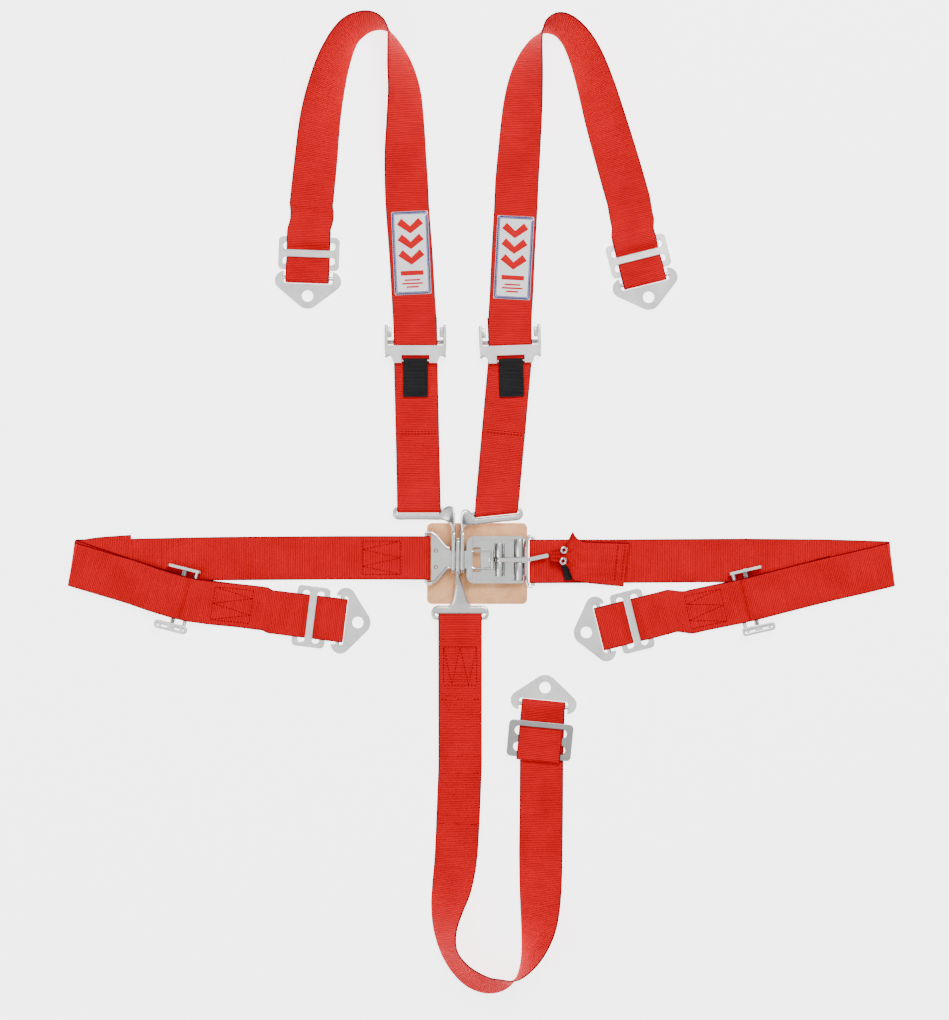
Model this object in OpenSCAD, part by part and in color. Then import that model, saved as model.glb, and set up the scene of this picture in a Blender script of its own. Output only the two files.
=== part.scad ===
// Five point latch and link racing harness, laid out flat on a floor.
// Lengths are millimetres, +Z is up, +Y runs from the crotch strap to the shoulder loops.
// The origin is the middle of the footprint, on the floor.

/* [Webbing] */
// Width of every strap
web_w = 50; // [48:1:51]
// Thickness of every strap
web_t = 1.5; // [1.2:0.1:1.6]
// Width of the black release tabs
tab_w = 30; // [24:1:34]
// Length of the black release tabs
tab_len = 50; // [40:1:60]

/* [Anchor plates] */
// Thickness of a floor anchor plate
plate_t = 3; // [2.5:0.1:3.2]
// Diameter of the bolt hole
bolt_d = 13; // [11:0.5:14]
// Distance from the bar that the webbing loops to the bolt hole
bolt_reach = 20.5; // [20:0.5:24]
// Width across the ears of a plate
plate_w = 76; // [74:1:80]

/* [Three bar slides] */
// Width of a slide, across the strap
slide_w = 70; // [68:1:74]
// Length of a slide, along the strap
slide_len = 38; // [36:1:40]
// Thickness of a slide
slide_t = 2.5; // [2:0.1:2.6]

/* [Adjusters] */
// Width of an adjuster frame, across the strap
adjuster_w = 70; // [68:1:74]
// Length of the side cheeks of an adjuster frame
adjuster_len = 38; // [36:1:40]
// Radius of the knurled bar
knurl_r = 2.6; // [2.4:0.1:2.7]

/* [Latch] */
// Length of the latch body
body_len = 66; // [64:1:68]
// Width of the latch body
body_w = 54; // [52:1:56]
// Height of the lever pivot above the floor
pivot_z = 15.5; // [15.3:0.1:16]
// Radius of the pivot barrels
barrel_r = 6; // [5.6:0.1:6.2]
// Width of the lever, along its pivot
lever_w = 4.4; // [4:0.1:4.6]

/* [Hidden] */
$fn = 48;

// Radius of every bar that webbing loops round, and the loop's inside and middle radius
bar_r = 2.3;
loop_in = bar_r + 0.4;
loop_r = loop_in + web_t / 2;
loop_out = loop_in + web_t;
// Height of an anchor plate's bar, and of the middle of a strap on the floor
anchor_z = loop_out;
lie_z = web_t / 2;
// Gap left between two layers of webbing
lay_gap = 0.15;
second_z = lie_z + web_t + lay_gap;
third_z = second_z + web_t + lay_gap;
fourth_z = third_z + web_t + lay_gap;
// Height of the underside of a slide, and of the strap over its outer bars
slide_z = 2 * web_t + 0.5;
over_slide_z = slide_z + slide_t + 0.25 + web_t / 2;

// ---- ribbon of webbing -------------------------------------------------
// A station is [x, y, z, heading, bank]: the middle of the strap, the azimuth
// that its width is square to, and how far its left edge is turned up. A sixth
// value is the width there, where that changes along the strap.
function left_edge(h, b) = [-sin(h) * cos(b), cos(h) * cos(b), sin(b)];
function unit(v) = v / norm(v);
function spline(p, q, r, s, t) = 0.5 * (2 * q + (r - p) * t
  + (2 * p - 5 * q + 4 * r - s) * t * t + (3 * q - p - 3 * r + s) * t * t * t);
// Smooth curve through hand placed stations, with n steps from each to the next
function smooth(st, n) = [for (i = [0 : len(st) - 1]) for (k = [0 : (i < len(st) - 1 ? n - 1 : 0)])
  spline(st[max(i - 1, 0)], st[i], st[min(i + 1, len(st) - 1)], st[min(i + 2, len(st) - 1)], k / n)];
function place(st) = [st[0], st[1], st[2]];
function ribbon_ring(st, i, w, t) =
  let (c = place(st[i]), last = len(st) - 1)
  let (d = unit(place(st[min(i + 1, last)]) - place(st[max(i - 1, 0)])))
  let (p = left_edge(st[i][3], st[i][4]))
  let (n = unit(cross(d, p)), w = len(st[i]) > 5 ? st[i][5] : w)
  [c + p * w / 2 + n * t / 2, c - p * w / 2 + n * t / 2, c - p * w / 2 - n * t / 2, c + p * w / 2 - n * t / 2];

module ribbon(st, w = web_w, t = web_t) {
  rings = len(st);
  points = [for (i = [0 : rings - 1]) each ribbon_ring(st, i, w, t)];
  sides = [for (i = [0 : rings - 2]) for (k = [0 : 3])
    let (a = 4 * i + k, b = 4 * i + (k + 1) % 4)
    each (k < 2 ? [[a + 4, b + 4, b], [a + 4, b, a]] : [[a + 4, b + 4, a], [b + 4, b, a]])];
  end = 4 * rings - 4;
  ends = [[0, 1, 2], [0, 2, 3], [end + 2, end + 1, end], [end + 3, end + 2, end]];
  polyhedron(points, concat(ends, sides));
}

// A station at distance s from a bar, in direction a
function off(bar, a, s, z, h, b = 0) = [bar[0] + s * cos(a), bar[1] + s * sin(a), z, h, b];
// Half turn round a bar, from under it to over it; the strap lies in direction a
function turn(bar, a, z, r, h, b = 0) = [for (f = [270 : -22.5 : 90]) off(bar, a, r * cos(f), z + r * sin(f), h, b)];
function backwards(st) = [for (i = [len(st) - 1 : -1 : 0]) st[i]];

// Outer and middle bars of a slide, and the slots between them
outer_bar = 6.5;
mid_bar = 8.5;
// How far the loose end reaches past a slide
tail_past = 7;
// The end of a strap: loose end on the floor, round the anchor bar, through the slide
function anchor_run(bar, a, mid, length, h, b = 0) =
  let (near = mid - length / 2 + outer_bar / 2, far = mid + length / 2 - outer_bar / 2)
  let (under = slide_z - 0.25 - web_t / 2, lip = outer_bar / 2 + 0.4, dip = mid_bar / 2 + 0.4)
  concat([off(bar, a, far + outer_bar / 2 + tail_past, lie_z, h, b)],
    turn(bar, a, anchor_z, loop_r, h, b),
    [off(bar, a, near - lip, over_slide_z, h, b), off(bar, a, near + lip, over_slide_z, h, b),
     off(bar, a, mid - dip, under, h, b), off(bar, a, mid + dip, under, h, b),
     off(bar, a, far - lip, over_slide_z, h, b), off(bar, a, far + lip, over_slide_z, h, b),
     off(bar, a, far + 12, 4.4, h, b)]);
// Where the strap comes down to the floor past its slide
function landing(bar, a, far, h, b = 0) = [off(bar, a, far + 22, 1.6, h, b), off(bar, a, far + 32, lie_z, h, b)];

// ---- where the fittings lie --------------------------------------------
// Anchor: [bar x, bar y, direction of the strap, middle of the slide, length and width of the slide]
anchor_sl = [-198.5, 260.5, 88, 28, slide_len, slide_w];
anchor_sr = [186.5, 258.5, 104, 28, slide_len, slide_w];
anchor_ll = [-162, -131.5, 173, 33.5, slide_len, slide_w];
anchor_lr = [140, -140.5, 14, 33.5, slide_len, slide_w];
anchor_cr = [70.8, -229, 264.5, 40, slide_len + 4, slide_w + 4];
function bar_of(anchor) = [anchor[0], anchor[1]];
function far_of(anchor) = anchor[3] + anchor[4] / 2 - outer_bar / 2;
function run_of(anchor, h, b = 0) = anchor_run(bar_of(anchor), anchor[2], anchor[3], anchor[4], h, b);
function land_of(anchor, h, b = 0) = landing(bar_of(anchor), anchor[2], far_of(anchor), h, b);

// Adjuster: [x, y of its middle, height of its bars, direction of the strap with the fixed end]
bar_gap = 7;
knurl_loop = knurl_r + 0.4 + web_t / 2;
adjuster_sl = [-75.5, 180, 4.5, 270];
adjuster_sr = [33, 180, 4.5, 272];
adjuster_ll = [-340, -106.5, 6.6, 346];
adjuster_lr = [302, -108.5, 6.6, 193];
function knurl_at(adj) = [adj[0] - bar_gap * cos(adj[3]), adj[1] - bar_gap * sin(adj[3])];
function fixed_at(adj) = [adj[0] + bar_gap * cos(adj[3]), adj[1] + bar_gap * sin(adj[3])];

// Bars of the buckle's fittings: [x, y] and height
tongue_z = 9;
tongue_l = [-71.5, -3.5];
tongue_r = [17, -6.5];
tongue_c = [-24.5, -129];
tongue_c_z = 6;
link_bar = [-63, -60];
link_z = 12;
latch_bar = [59, -64];
latch_bar_z = 7;

// ---- routes ------------------------------------------------------------
// Standing height of the middle of a strap whose lower edge rests on the floor
function stand(x, y, h, b) = [x, y, 1 + abs(sin(b)) * web_w / 2, h, b];

loop_left = smooth([stand(-195, 345, 86, 5), stand(-189.5, 395, 82, 14), stand(-184.5, 440, 79, 24),
  stand(-177.5, 475, 73, 35), stand(-167, 510, 62, 46), stand(-152, 538, 38, 57), stand(-135, 549, 10, 66),
  stand(-119, 550, -20, 77), stand(-106, 542, -48, 92), stand(-99, 525, -68, 108), stand(-93, 503, -78, 124),
  stand(-88, 474, -84, 137), stand(-87, 440, -88, 148), stand(-87, 404, -90, 161), stand(-86, 370, -89, 173)], 4);
strap_left = concat(anchor_run([-199.5, 260.5], 88, anchor_sl[3], anchor_sl[4], 88),
  landing([-199.5, 260.5], 86, far_of(anchor_sl), 87), loop_left,
  [[-85, 344, lie_z, -88, 180], [-81, 290, lie_z, -88, 180], [-78, 238, lie_z, -89, 180], [-77, 223, 4.2, -90, 180],
   [-76, 206, 7.7, -90, 180]],
  backwards(turn(knurl_at(adjuster_sl), 90, adjuster_sl[2], knurl_loop, -90, 180)), [[-76, 216, lie_z, -90, 180]]);

loop_right = smooth([stand(168.5, 350, 103, -3), stand(155, 396, 105, -14), stand(141.5, 441, 108, -24),
  stand(129, 483, 113, -36), stand(117, 515, 122, -46), stand(103, 537, 145, -55), stand(89, 547, 170, -64),
  stand(76, 545.5, 200, -79), stand(66.5, 537, 226, -98), stand(60, 524, 243, -113), stand(54.5, 506, 255, -128),
  stand(50, 482, 261, -143), stand(46.5, 450, 265, -156), stand(43, 404, 266, -166), stand(40.5, 370, 266, -175)], 4);
strap_right = concat(run_of(anchor_sr, 104), [[173.6, 322, 2, 102, 0], [171.4, 334, lie_z, 102, 0]], loop_right,
  [[39.5, 344, lie_z, 266, -180], [36.5, 290, lie_z, 267, -180], [34, 236, lie_z, 268, -180],
   [33, 222, 4.2, 270, -180], [32.4, 206, 7.7, 271, -180]],
  backwards(turn(knurl_at(adjuster_sr), 92, adjuster_sr[2], knurl_loop, 272, -180)), [[31.6, 216, lie_z, 272, -180]]);

// A lower shoulder strap hangs between the adjuster's fixed bar and a tongue
function lower_strap(adj, tongue, h, ht) =
  let (top = fixed_at(adj), a = atan2(top[1] - tongue[1], top[0] - tongue[0]))
  concat([off(top, a, -92, lie_z, h), off(top, a, -12, lie_z, h)],
    turn(top, adj[3], adj[2], loop_r, adj[3] - 360),
    [off(top, a, -14, 5.9, h), off(top, a, -34, 3.0, h), off(top, a, -52, second_z, h),
     off(tongue, a, 52, second_z, h), off(tongue, a, 30, 3.2, h), off(tongue, a, 14, 8.6, (h + ht) / 2)],
    backwards(turn(tongue, a, tongue_z, loop_r, ht)),
    [off(tongue, a, 14, 2.6, (h + ht) / 2), off(tongue, a, 26, 1, h), off(tongue, a, 40, lie_z, h)]);

lap_left = concat([[-139, -60, lie_z, 180, 0], [-106, -60, lie_z, 180, 0], [-82, -60, 4.2, 180, 0]],
  turn(link_bar, 180, link_z, loop_r, 180),
  [[-80, -60, 11.6, 180, 0], [-104, -60, 3.6, 180, 0], [-118, -60, second_z, 180, 0], [-141, -60, second_z, 180, 0],
   [-158, -60, lie_z, 180, 0], [-300, -61, lie_z, 180, 0], [-400, -63, lie_z, 180, 0], [-466, -64, lie_z, 179, 0]],
  [for (f = [270 : -22.5 : 90]) let (r = (fourth_z - lie_z) / 2, k = (270 - f) / 180)
    [-466.7 + r * cos(f), -65 - 3 * k, lie_z + r + r * sin(f), 178 - 13 * k, 0]],
  [[-440, -76, fourth_z, 164, 0], [-400, -88, fourth_z, 164, 0], [-372, -97.5, 8.2, 165, 0]],
  backwards(turn(knurl_at(adjuster_ll), 166, adjuster_ll[2], knurl_loop, 166)),
  [[-362, -100, 2.9, 166, 0], [-396, -89, third_z, 166, 0], [-440, -74, third_z, 172, 0], [-462, -66, third_z, 176, 0]],
  [for (f = [90 : 45 : 270]) let (r = (third_z - second_z) / 2)
    [-464 + r * cos(f), -65, second_z + r + r * sin(f), 178, 0]],
  [[-440, -61.5, second_z, 182, 0], [-400, -58.5, second_z, 184, 0]]);

anchor_strap_left = concat([off(fixed_at(adjuster_ll), -7, 84, lie_z, -8), off(fixed_at(adjuster_ll), -7, 24, lie_z, -9)],
  turn(fixed_at(adjuster_ll), -14, adjuster_ll[2], loop_r, -14),
  [off(fixed_at(adjuster_ll), -8, 14, 7.4, -10), off(fixed_at(adjuster_ll), -8, 30, 3.2, -9),
   off(fixed_at(adjuster_ll), -7, 48, second_z, -8), off(fixed_at(adjuster_ll), -7, 86, second_z, -8)],
  backwards(concat(run_of(anchor_ll, -7), land_of(anchor_ll, -7))));

lap_right = concat([[128, -64, lie_z, 0, 0], [98, -64, lie_z, 0, 0], [74, -64, 2.4, 0, 0]],
  turn(latch_bar, 0, latch_bar_z, loop_r, 0),
  [[72, -64, 8.8, 0, 0], [92, -64, 3.4, 0, 0], [104, -64, second_z, 0, 0], [130, -64, second_z, 0, 0],
   [146, -64, lie_z, 0, 0], [300, -63, lie_z, 0, 0], [400, -64, lie_z, -1, 0], [464, -66, lie_z, 0, 0]],
  [for (f = [270 : 22.5 : 450]) let (r = (third_z - lie_z) / 2, k = (f - 270) / 180)
    [468.3 + r * cos(f), -66.5 - 1.5 * k, lie_z + r + r * sin(f), 1 + 11 * k, 0]],
  [[440, -75, third_z, 13, 0], [388, -87, third_z, 13.5, 0], [350, -96.5, 5.4, 13, 0], [330, -101.5, 8.6, 13, 0]],
  backwards(turn(knurl_at(adjuster_lr), 13, adjuster_lr[2], knurl_loop, 13)),
  [[326, -102.5, 2.9, 13, 0], [360, -94, second_z, 13, 0], [405, -82, second_z, 13, 0]]);

anchor_strap_right = concat([off(fixed_at(adjuster_lr), 192, 56, lie_z, 12), off(fixed_at(adjuster_lr), 192, 24, lie_z, 12)],
  turn(fixed_at(adjuster_lr), 193, adjuster_lr[2], loop_r, 13),
  [off(fixed_at(adjuster_lr), 192, 14, 7.4, 12), off(fixed_at(adjuster_lr), 192, 30, 3.2, 12),
   off(fixed_at(adjuster_lr), 192, 46, second_z, 12), off(fixed_at(adjuster_lr), 192, 60, second_z, 12)],
  backwards(concat(run_of(anchor_lr, 14), land_of(anchor_lr, 14))));

loop_crotch = smooth([stand(-24.5, -300, -90, 0), stand(-27, -362, -91, 4), stand(-29.5, -405, -92, 12),
  stand(-34, -437, -94, 25), stand(-39.5, -462, -92, 44), stand(-41.5, -485, -83, 58), stand(-37, -508, -65, 65),
  stand(-25, -527, -47, 62), stand(-9, -540.5, -30, 58), stand(9, -547, -8, 60), stand(26, -545, 18, 68),
  stand(41, -537, 42, 88), stand(52, -521, 60, 107), stand(60, -501, 72, 126), stand(65.5, -475, 80, 146),
  stand(67.5, -440, 87, 163), stand(68, -395, 90, 176)], 4);
crotch_route = concat([[-24.5, -223, lie_z, -90, 0], [-24.5, -166, lie_z, -90, 0], [-24.5, -148, 1.4, -90, 0]],
  turn(tongue_c, 270, tongue_c_z, loop_r, -90),
  [[-24.5, -144, 7.6, -90, 0], [-24.5, -164, 3.2, -90, 0], [-24.5, -178, second_z, -90, 0],
   [-24.5, -225, second_z, -90, 0], [-24.5, -242, lie_z, -90, 0]],
  loop_crotch, [[68.6, -350, lie_z, 89, 180], [68.8, -318, lie_z, 88, 180], [69, -290, lie_z, 87, 180]]);

// The crotch strap runs under its slide, round the anchor bar, and its end folds over the slide
function crotch_end(h, b) =
  let (bar = bar_of(anchor_cr), a = anchor_cr[2], mid = anchor_cr[3], length = anchor_cr[4])
  let (near = mid - length / 2 + outer_bar / 2, far = mid + length / 2 - outer_bar / 2)
  let (under = slide_z - 0.25 - web_t / 2, lip = outer_bar / 2 + 0.4, fold_r = (over_slide_z - under) / 2)
  concat(turn(bar, a, anchor_z, loop_r, h, b),
    [off(bar, a, near - lip - 1, under, h, b), off(bar, a, near + lip, under, h, b),
     off(bar, a, mid - mid_bar / 2, over_slide_z, h, b)],
    [for (f = [90 : -30 : -90]) off(bar, a, far + lip + fold_r * cos(f), under + fold_r * (1 + sin(f)), h, b)],
    [off(bar, a, far - lip, under, h, b)]);
strap_crotch = concat(crotch_route, crotch_end(84.5, 180));

// ---- flat outlines -----------------------------------------------------
// The strip between two circles, each given as [x, y, radius]
module strip(p, q) {
  d = [q[0] - p[0], q[1] - p[1]];
  f = atan2(d[1], d[0]);
  g = acos((p[2] - q[2]) / norm(d));
  polygon([for (k = [[p, f + g], [q, f + g], [q, f - g], [p, f - g]])
    [k[0][0] + k[0][2] * cos(k[1]), k[0][1] + k[0][2] * sin(k[1])]]);
}
// A plate outline round three or more circles
module outline(circles) {
  for (c = circles) translate([c[0], c[1]]) circle(c[2]);
  for (i = [0 : len(circles) - 1]) strip(circles[i], circles[(i + 1) % len(circles)]);
  polygon([for (c = circles) [c[0], c[1]]]);
}
module rounded_box(x, y, r) {
  step = 15;
  polygon([for (quarter = [0 : 3]) let (sx = (quarter == 0 || quarter == 3) ? 1 : -1, sy = quarter < 2 ? 1 : -1)
    for (a = [90 * quarter : step : 90 * quarter + 90]) [sx * (x / 2 - r) + r * cos(a), sy * (y / 2 - r) + r * sin(a)]]);
}
module cross_bar(r, length) rotate([90, 0, 0]) cylinder(r = r, h = length, center = true);

// ---- anchor plates, slides ---------------------------------------------
slot_w = web_w + 6;
slide_slot_w = web_w + 10;
apex_r = 14.5;
ear_r = 11;
slot_edge = 6.5;
plate_tilt = asin((anchor_z - plate_t / 2) / (bolt_reach + apex_r));
module anchor_plate(anchor) {
  ear_y = plate_w / 2 - ear_r;
  translate([anchor[0], anchor[1], anchor_z]) rotate([0, 0, anchor[2] + 180]) rotate([0, plate_tilt, 0]) {
    difference() {
      translate([0, 0, -plate_t / 2]) linear_extrude(plate_t)
        difference() {
          outline([[3.5, ear_y, ear_r], [3.5, -ear_y, ear_r], [bolt_reach, 0, apex_r]]);
          translate([slot_edge - 20, 0]) rounded_box(40, slot_w, 3);
        }
      translate([bolt_reach, 0, -plate_t]) cylinder(d = bolt_d, h = 2 * plate_t);
    }
    cross_bar(bar_r, slot_w + 3);
  }
}
module slide(anchor) {
  slot_len = (anchor[4] - 2 * outer_bar - mid_bar) / 2;
  translate([anchor[0], anchor[1], slide_z]) rotate([0, 0, anchor[2]]) translate([anchor[3], 0, 0])
    linear_extrude(slide_t) difference() {
      rounded_box(anchor[4], anchor[5], 5);
      for (side = [-1, 1]) translate([side * (mid_bar + slot_len) / 2, 0])
        rounded_box(slot_len, slide_slot_w, slot_len / 2 - 0.1);
    }
}

// ---- adjusters ---------------------------------------------------------
cheek_t = 3;
cheek_top = 5.5;
cheek_low = 4.4;
pin_r = 1.8;
pin_slot = 2.5;
tab_rod_x = 14.5;
tab_rod_z = 8;
tab_rod_r = 1.3;
module slotted_cheek() {
  rotate([90, 0, 0]) linear_extrude(cheek_t, center = true) difference() {
    translate([adjuster_len / 2 - bar_gap - 20, (cheek_top - cheek_low) / 2])
      rounded_box(adjuster_len, cheek_top + cheek_low, 2.5);
    translate([-bar_gap, 0]) {
      circle(pin_r + 0.15);
      translate([-pin_slot, 0]) circle(pin_r + 0.15);
      translate([-pin_slot, -pin_r - 0.15]) square([pin_slot, 2 * pin_r + 0.3]);
    }
  }
}
module adjuster_frame(adj, with_plate) {
  translate([adj[0], adj[1], adj[2]]) rotate([0, 0, adj[3]]) {
    for (side = [-1, 1]) translate([0, side * (adjuster_w - cheek_t) / 2, 0]) slotted_cheek();
    translate([bar_gap, 0, 0]) cross_bar(bar_r, adjuster_w - 2);
    if (with_plate) release_plate();
  }
}
// The plate over the bars, with the rod that the release tab hangs on
module release_plate() {
  translate([0, 0, cheek_top]) linear_extrude(2) difference() {
    polygon([[-3, -adjuster_w / 2], [-3, adjuster_w / 2], [4, adjuster_w / 2], [11, 27], [17, 25], [17, -25],
      [11, -27], [4, -adjuster_w / 2]]);
    translate([8, -tab_w / 2 - 1]) square([12, tab_w + 2]);
  }
  translate([tab_rod_x, 0, tab_rod_z - 1.5]) cross_bar(tab_rod_r, tab_w + 4);
}
module adjuster_bar(adj) {
  translate([adj[0], adj[1], adj[2]]) rotate([0, 0, adj[3]]) translate([-bar_gap, 0, 0]) {
    cross_bar(knurl_r, adjuster_w - 2 * cheek_t - 1);
    cross_bar(pin_r, adjuster_w + 1);
  }
}
module release_tab(adj) {
  loop = tab_rod_r + 0.3;
  translate([adj[0], adj[1], adj[2]]) rotate([0, 0, adj[3]]) translate([tab_rod_x, 0, tab_rod_z - 1.5])
    rotate([90, 0, 0]) linear_extrude(tab_w, center = true) difference() {
      union() {
        circle(loop + 1.4);
        polygon([[0, -loop - 1.35], [8, -loop - 2], [22, -6], [tab_len, -7.4], [tab_len, -5.4], [22, -4], [8, -loop + 0.2],
          [0, -loop - 0.05]]);
      }
      circle(loop);
    }
}

// ---- tongues -----------------------------------------------------------
ring_t = 4.5;
ring_low = 4;
ring_high = 20;
hole_low = 7.8;
hole_high = 16.5;
latch_y = -62;
// An upright ring across the latch, from x to x + ring_t, that the link passes through
module ring(x, y_low, y_high) {
  hole_w = 26;
  translate([x, 0, 0]) rotate([90, 0, 90]) linear_extrude(ring_t) difference() {
    translate([(y_low + y_high) / 2, (ring_low + ring_high) / 2]) rounded_box(y_high - y_low, ring_high - ring_low, 6);
    translate([latch_y, (hole_low + hole_high) / 2]) rounded_box(hole_w, hole_high - hole_low, 2);
  }
}
frame_half = 30;
arm_w = 3.4;
slot_gap = 5.5;
far_bar = 7.5;
// The slotted end of a fitting: its bar at the origin, the strap on the +Y side
module slot_frame(half, reach) {
  rotate([0, 0, 90]) cross_bar(bar_r, 2 * half - 2);
  translate([0, 0, -plate_t / 2]) linear_extrude(plate_t) difference() {
    outline([[half - 3, 0.5, 3], [3 - half, 0.5, 3], [5 - half, 5 - reach, 5], [half - 5, 5 - reach, 5]]);
    translate([arm_w - half, -slot_gap]) square([2 * (half - arm_w), slot_gap + 10]);
  }
}
// A shoulder tongue: side is 1 where its ring is on the +X side of its slot
module shoulder_tongue(bar, side, tilt, ring_x) {
  reach = slot_gap + far_bar;
  ring_top = -28;
  middle = ring_x + ring_t / 2;
  proud = 0.15;
  translate([bar[0], bar[1], tongue_z]) rotate([0, 0, tilt]) slot_frame(frame_half, reach);
  hull() {
    translate([bar[0], bar[1], tongue_z]) rotate([0, 0, tilt])
      translate([side * (frame_half - arm_w / 2), 3 - reach / 2, 0])
        cube([arm_w + 2 * proud, reach + 4, plate_t + 2 * proud], center = true);
    translate([middle - side * 2 - 2, ring_top + 3, 7]) cube([4, 14, 8]);
  }
  hull() {
    translate([middle - side * 2 - 2, ring_top + 3, 7]) cube([4, 14, 8]);
    translate([ring_x, ring_top - 6, ring_low + 3]) cube([ring_t, 5, ring_high - ring_low - 6]);
  }
  ring(ring_x, -77.5, ring_top);
}
ring_left_x = -34.3;
ring_mid_x = -29.2;
ring_right_x = -24.1;
module tongue_crotch() {
  half = 33;
  neck_y = 16;
  color("silver") {
    translate([tongue_c[0], tongue_c[1], tongue_c_z]) mirror([0, 1, 0]) slot_frame(half, neck_y);
    hull() {
      translate([tongue_c[0] - 11, tongue_c[1] + neck_y - 3, tongue_c_z - plate_t / 2]) cube([22, 2, plate_t]);
      translate([tongue_c[0] - 8, tongue_c[1] + neck_y + 15, tongue_c_z]) cube([14, 2, 5]);
    }
    hull() {
      translate([tongue_c[0] - 8, tongue_c[1] + neck_y + 15, tongue_c_z]) cube([14, 2, 5]);
      translate([ring_mid_x, -80, ring_low + 3]) cube([ring_t, 3, ring_high - ring_low - 6]);
    }
    ring(ring_mid_x, -79.5, -37);
  }
}

// ---- link --------------------------------------------------------------
link_t = 2.5;
link_low = 10.5;
hook_bar = [12.2, 12];
hook_bar_r = 1.6;
prong_y = 10;
// A round rod through a list of points, as one closed solid with flat ends
module rod(points, r) {
  sides = 12;
  last = len(points) - 1;
  rings = [for (i = [0 : last])
    let (d = unit(points[min(i + 1, last)] - points[max(i - 1, 0)]), v = unit(cross(d, [0, 0, 1])), u = cross(v, d))
    each [for (k = [0 : sides - 1]) points[i] + r * (v * cos(360 * k / sides) + u * sin(360 * k / sides))]];
  skin = [for (i = [0 : last - 1]) for (k = [0 : sides - 1]) let (n = (k + 1) % sides)
    [sides * i + k, sides * i + n, sides * (i + 1) + n, sides * (i + 1) + k]];
  polyhedron(rings, concat([[for (k = [sides - 1 : -1 : 0]) k]], skin, [[for (k = [0 : sides - 1]) sides * last + k]]));
}
module link_plate() {
  z = link_low + 2.1;
  color("silver") translate([0, link_bar[1], 0]) {
    translate([link_bar[0], 0, link_z]) cross_bar(bar_r, 58);
    translate([0, 0, link_low]) linear_extrude(link_t) difference() {
      polygon([[-57.5, -27], [-50, -24], [-40, -11], [-36, -10], [-36, 10], [-40, 11], [-50, 24], [-57.5, 27]]);
      for (side = [-1, 1]) translate([-52, side * 9.5 - 1]) circle(1.6);
    }
    for (side = [-1, 1])
      rod([[link_bar[0], side * 29, z], [-57, side * 29, z], [-52, side * 26, z], [-40, side * 12, z], [-37, side * 11, z]], 2);
  }
}
module link_tongue() {
  low = 8.5;
  plate = 2;
  color("gainsboro") {
    difference() {
      translate([-56, latch_y - 10, low]) cube([43, 20, plate]);
      for (side = [-1, 1]) translate([-52, link_bar[1] + side * 9.5 - 1, 0]) cylinder(r = 1.6, h = 20);
    }
    for (side = [-1, 1])
      rod([[-14, latch_y + side * (prong_y - 2), low + plate / 2], [-8, latch_y + side * prong_y, low + plate / 2],
        [hook_bar[0] + 0.3, latch_y + side * prong_y, hook_bar[1]]], hook_bar_r - 0.2);
    translate([hook_bar[0], latch_y, hook_bar[1]]) cross_bar(hook_bar_r + 0.1, 2 * prong_y + 2.6);
  }
}
module link_rivets() {
  top = link_low + link_t;
  color("white") for (side = [-1, 1]) translate([-52, link_bar[1] + side * 9.5 - 1, 0]) {
    translate([0, 0, 8.5]) cylinder(r = 1.6, h = top - 8.5);
    translate([0, 0, top]) cylinder(r1 = 2.4, r2 = 1.4, h = 1);
    translate([0, 0, 7.9]) cylinder(r = 2.4, h = 0.6);
  }
}

// ---- latch -------------------------------------------------------------
pivot_x = 20.5;
pin_hole = 2.05;
lever_pin_r = 2;
floor_low = 3;
floor_t = 2;
body_left = -17;
wall = 3;
wall_top = 12;
end_top = 17;
slit = 5.4;
tube_x = 43.2;
tube_r = 6.5;
body_right = body_left + body_len;
module body_outline(inset) {
  r = 9 - inset;
  small = 4 - inset;
  half = body_w / 2 - inset;
  outline([[body_right - inset - small, half - small, small], [body_left + inset + r, half - r, r],
    [body_left + inset + r, r - half, r], [body_right - inset - small, small - half, small]]);
}
module latch_body() {
  color("silver") translate([0, latch_y, 0]) {
    translate([0, 0, floor_low]) linear_extrude(floor_t) difference() {
      body_outline(0);
      translate([pivot_x - 9, -slit / 2]) square([18, slit]);
      translate([-10, -14]) square([9, 28]);
    }
    translate([0, 0, floor_low + floor_t]) linear_extrude(wall_top - floor_low - floor_t) difference() {
      body_outline(0);
      body_outline(wall);
      translate([body_left - 1, -13]) square([8, 26]);
      translate([body_right - wall - 1, -24]) square([wall + 2, 48]);
    }
    difference() {
      translate([0, 0, wall_top]) linear_extrude(end_top - wall_top) intersection() {
        body_outline(0);
        translate([body_left, -body_w / 2]) square([6, body_w]);
      }
      translate([body_left - 1, -13, wall_top - 1]) cube([8, 26, 1.6]);
    }
    barrels();
  }
}
// The two barrels that carry the lever pin, on their blocks
module barrels() {
  barrel_len = 16;
  for (side = [-1, 1]) translate([0, side * (slit + barrel_len) / 2, 0]) difference() {
    union() {
      translate([pivot_x, 0, pivot_z]) cross_bar(barrel_r, barrel_len);
      translate([pivot_x - 5, -barrel_len / 2, floor_low + floor_t]) cube([10, barrel_len, pivot_z - floor_low - floor_t]);
    }
    translate([pivot_x, 0, pivot_z]) cross_bar(pin_hole, barrel_len + 2);
  }
}
module latch_cross_tube() {
  tube_len = 20.5;
  gap = 6.4;
  low = floor_low + floor_t;
  color("silver") for (side = [-1, 1]) translate([tube_x, latch_y + side * (gap + tube_len) / 2, 0]) difference() {
    union() {
      translate([0, 0, low + tube_r + 0.2]) cross_bar(tube_r, tube_len);
      translate([-4, -tube_len / 2, low]) cube([8, tube_len, tube_r]);
    }
    translate([0, 0, low + tube_r + 0.2]) cross_bar(tube_r - 2, tube_len + 2);
  }
}
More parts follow.
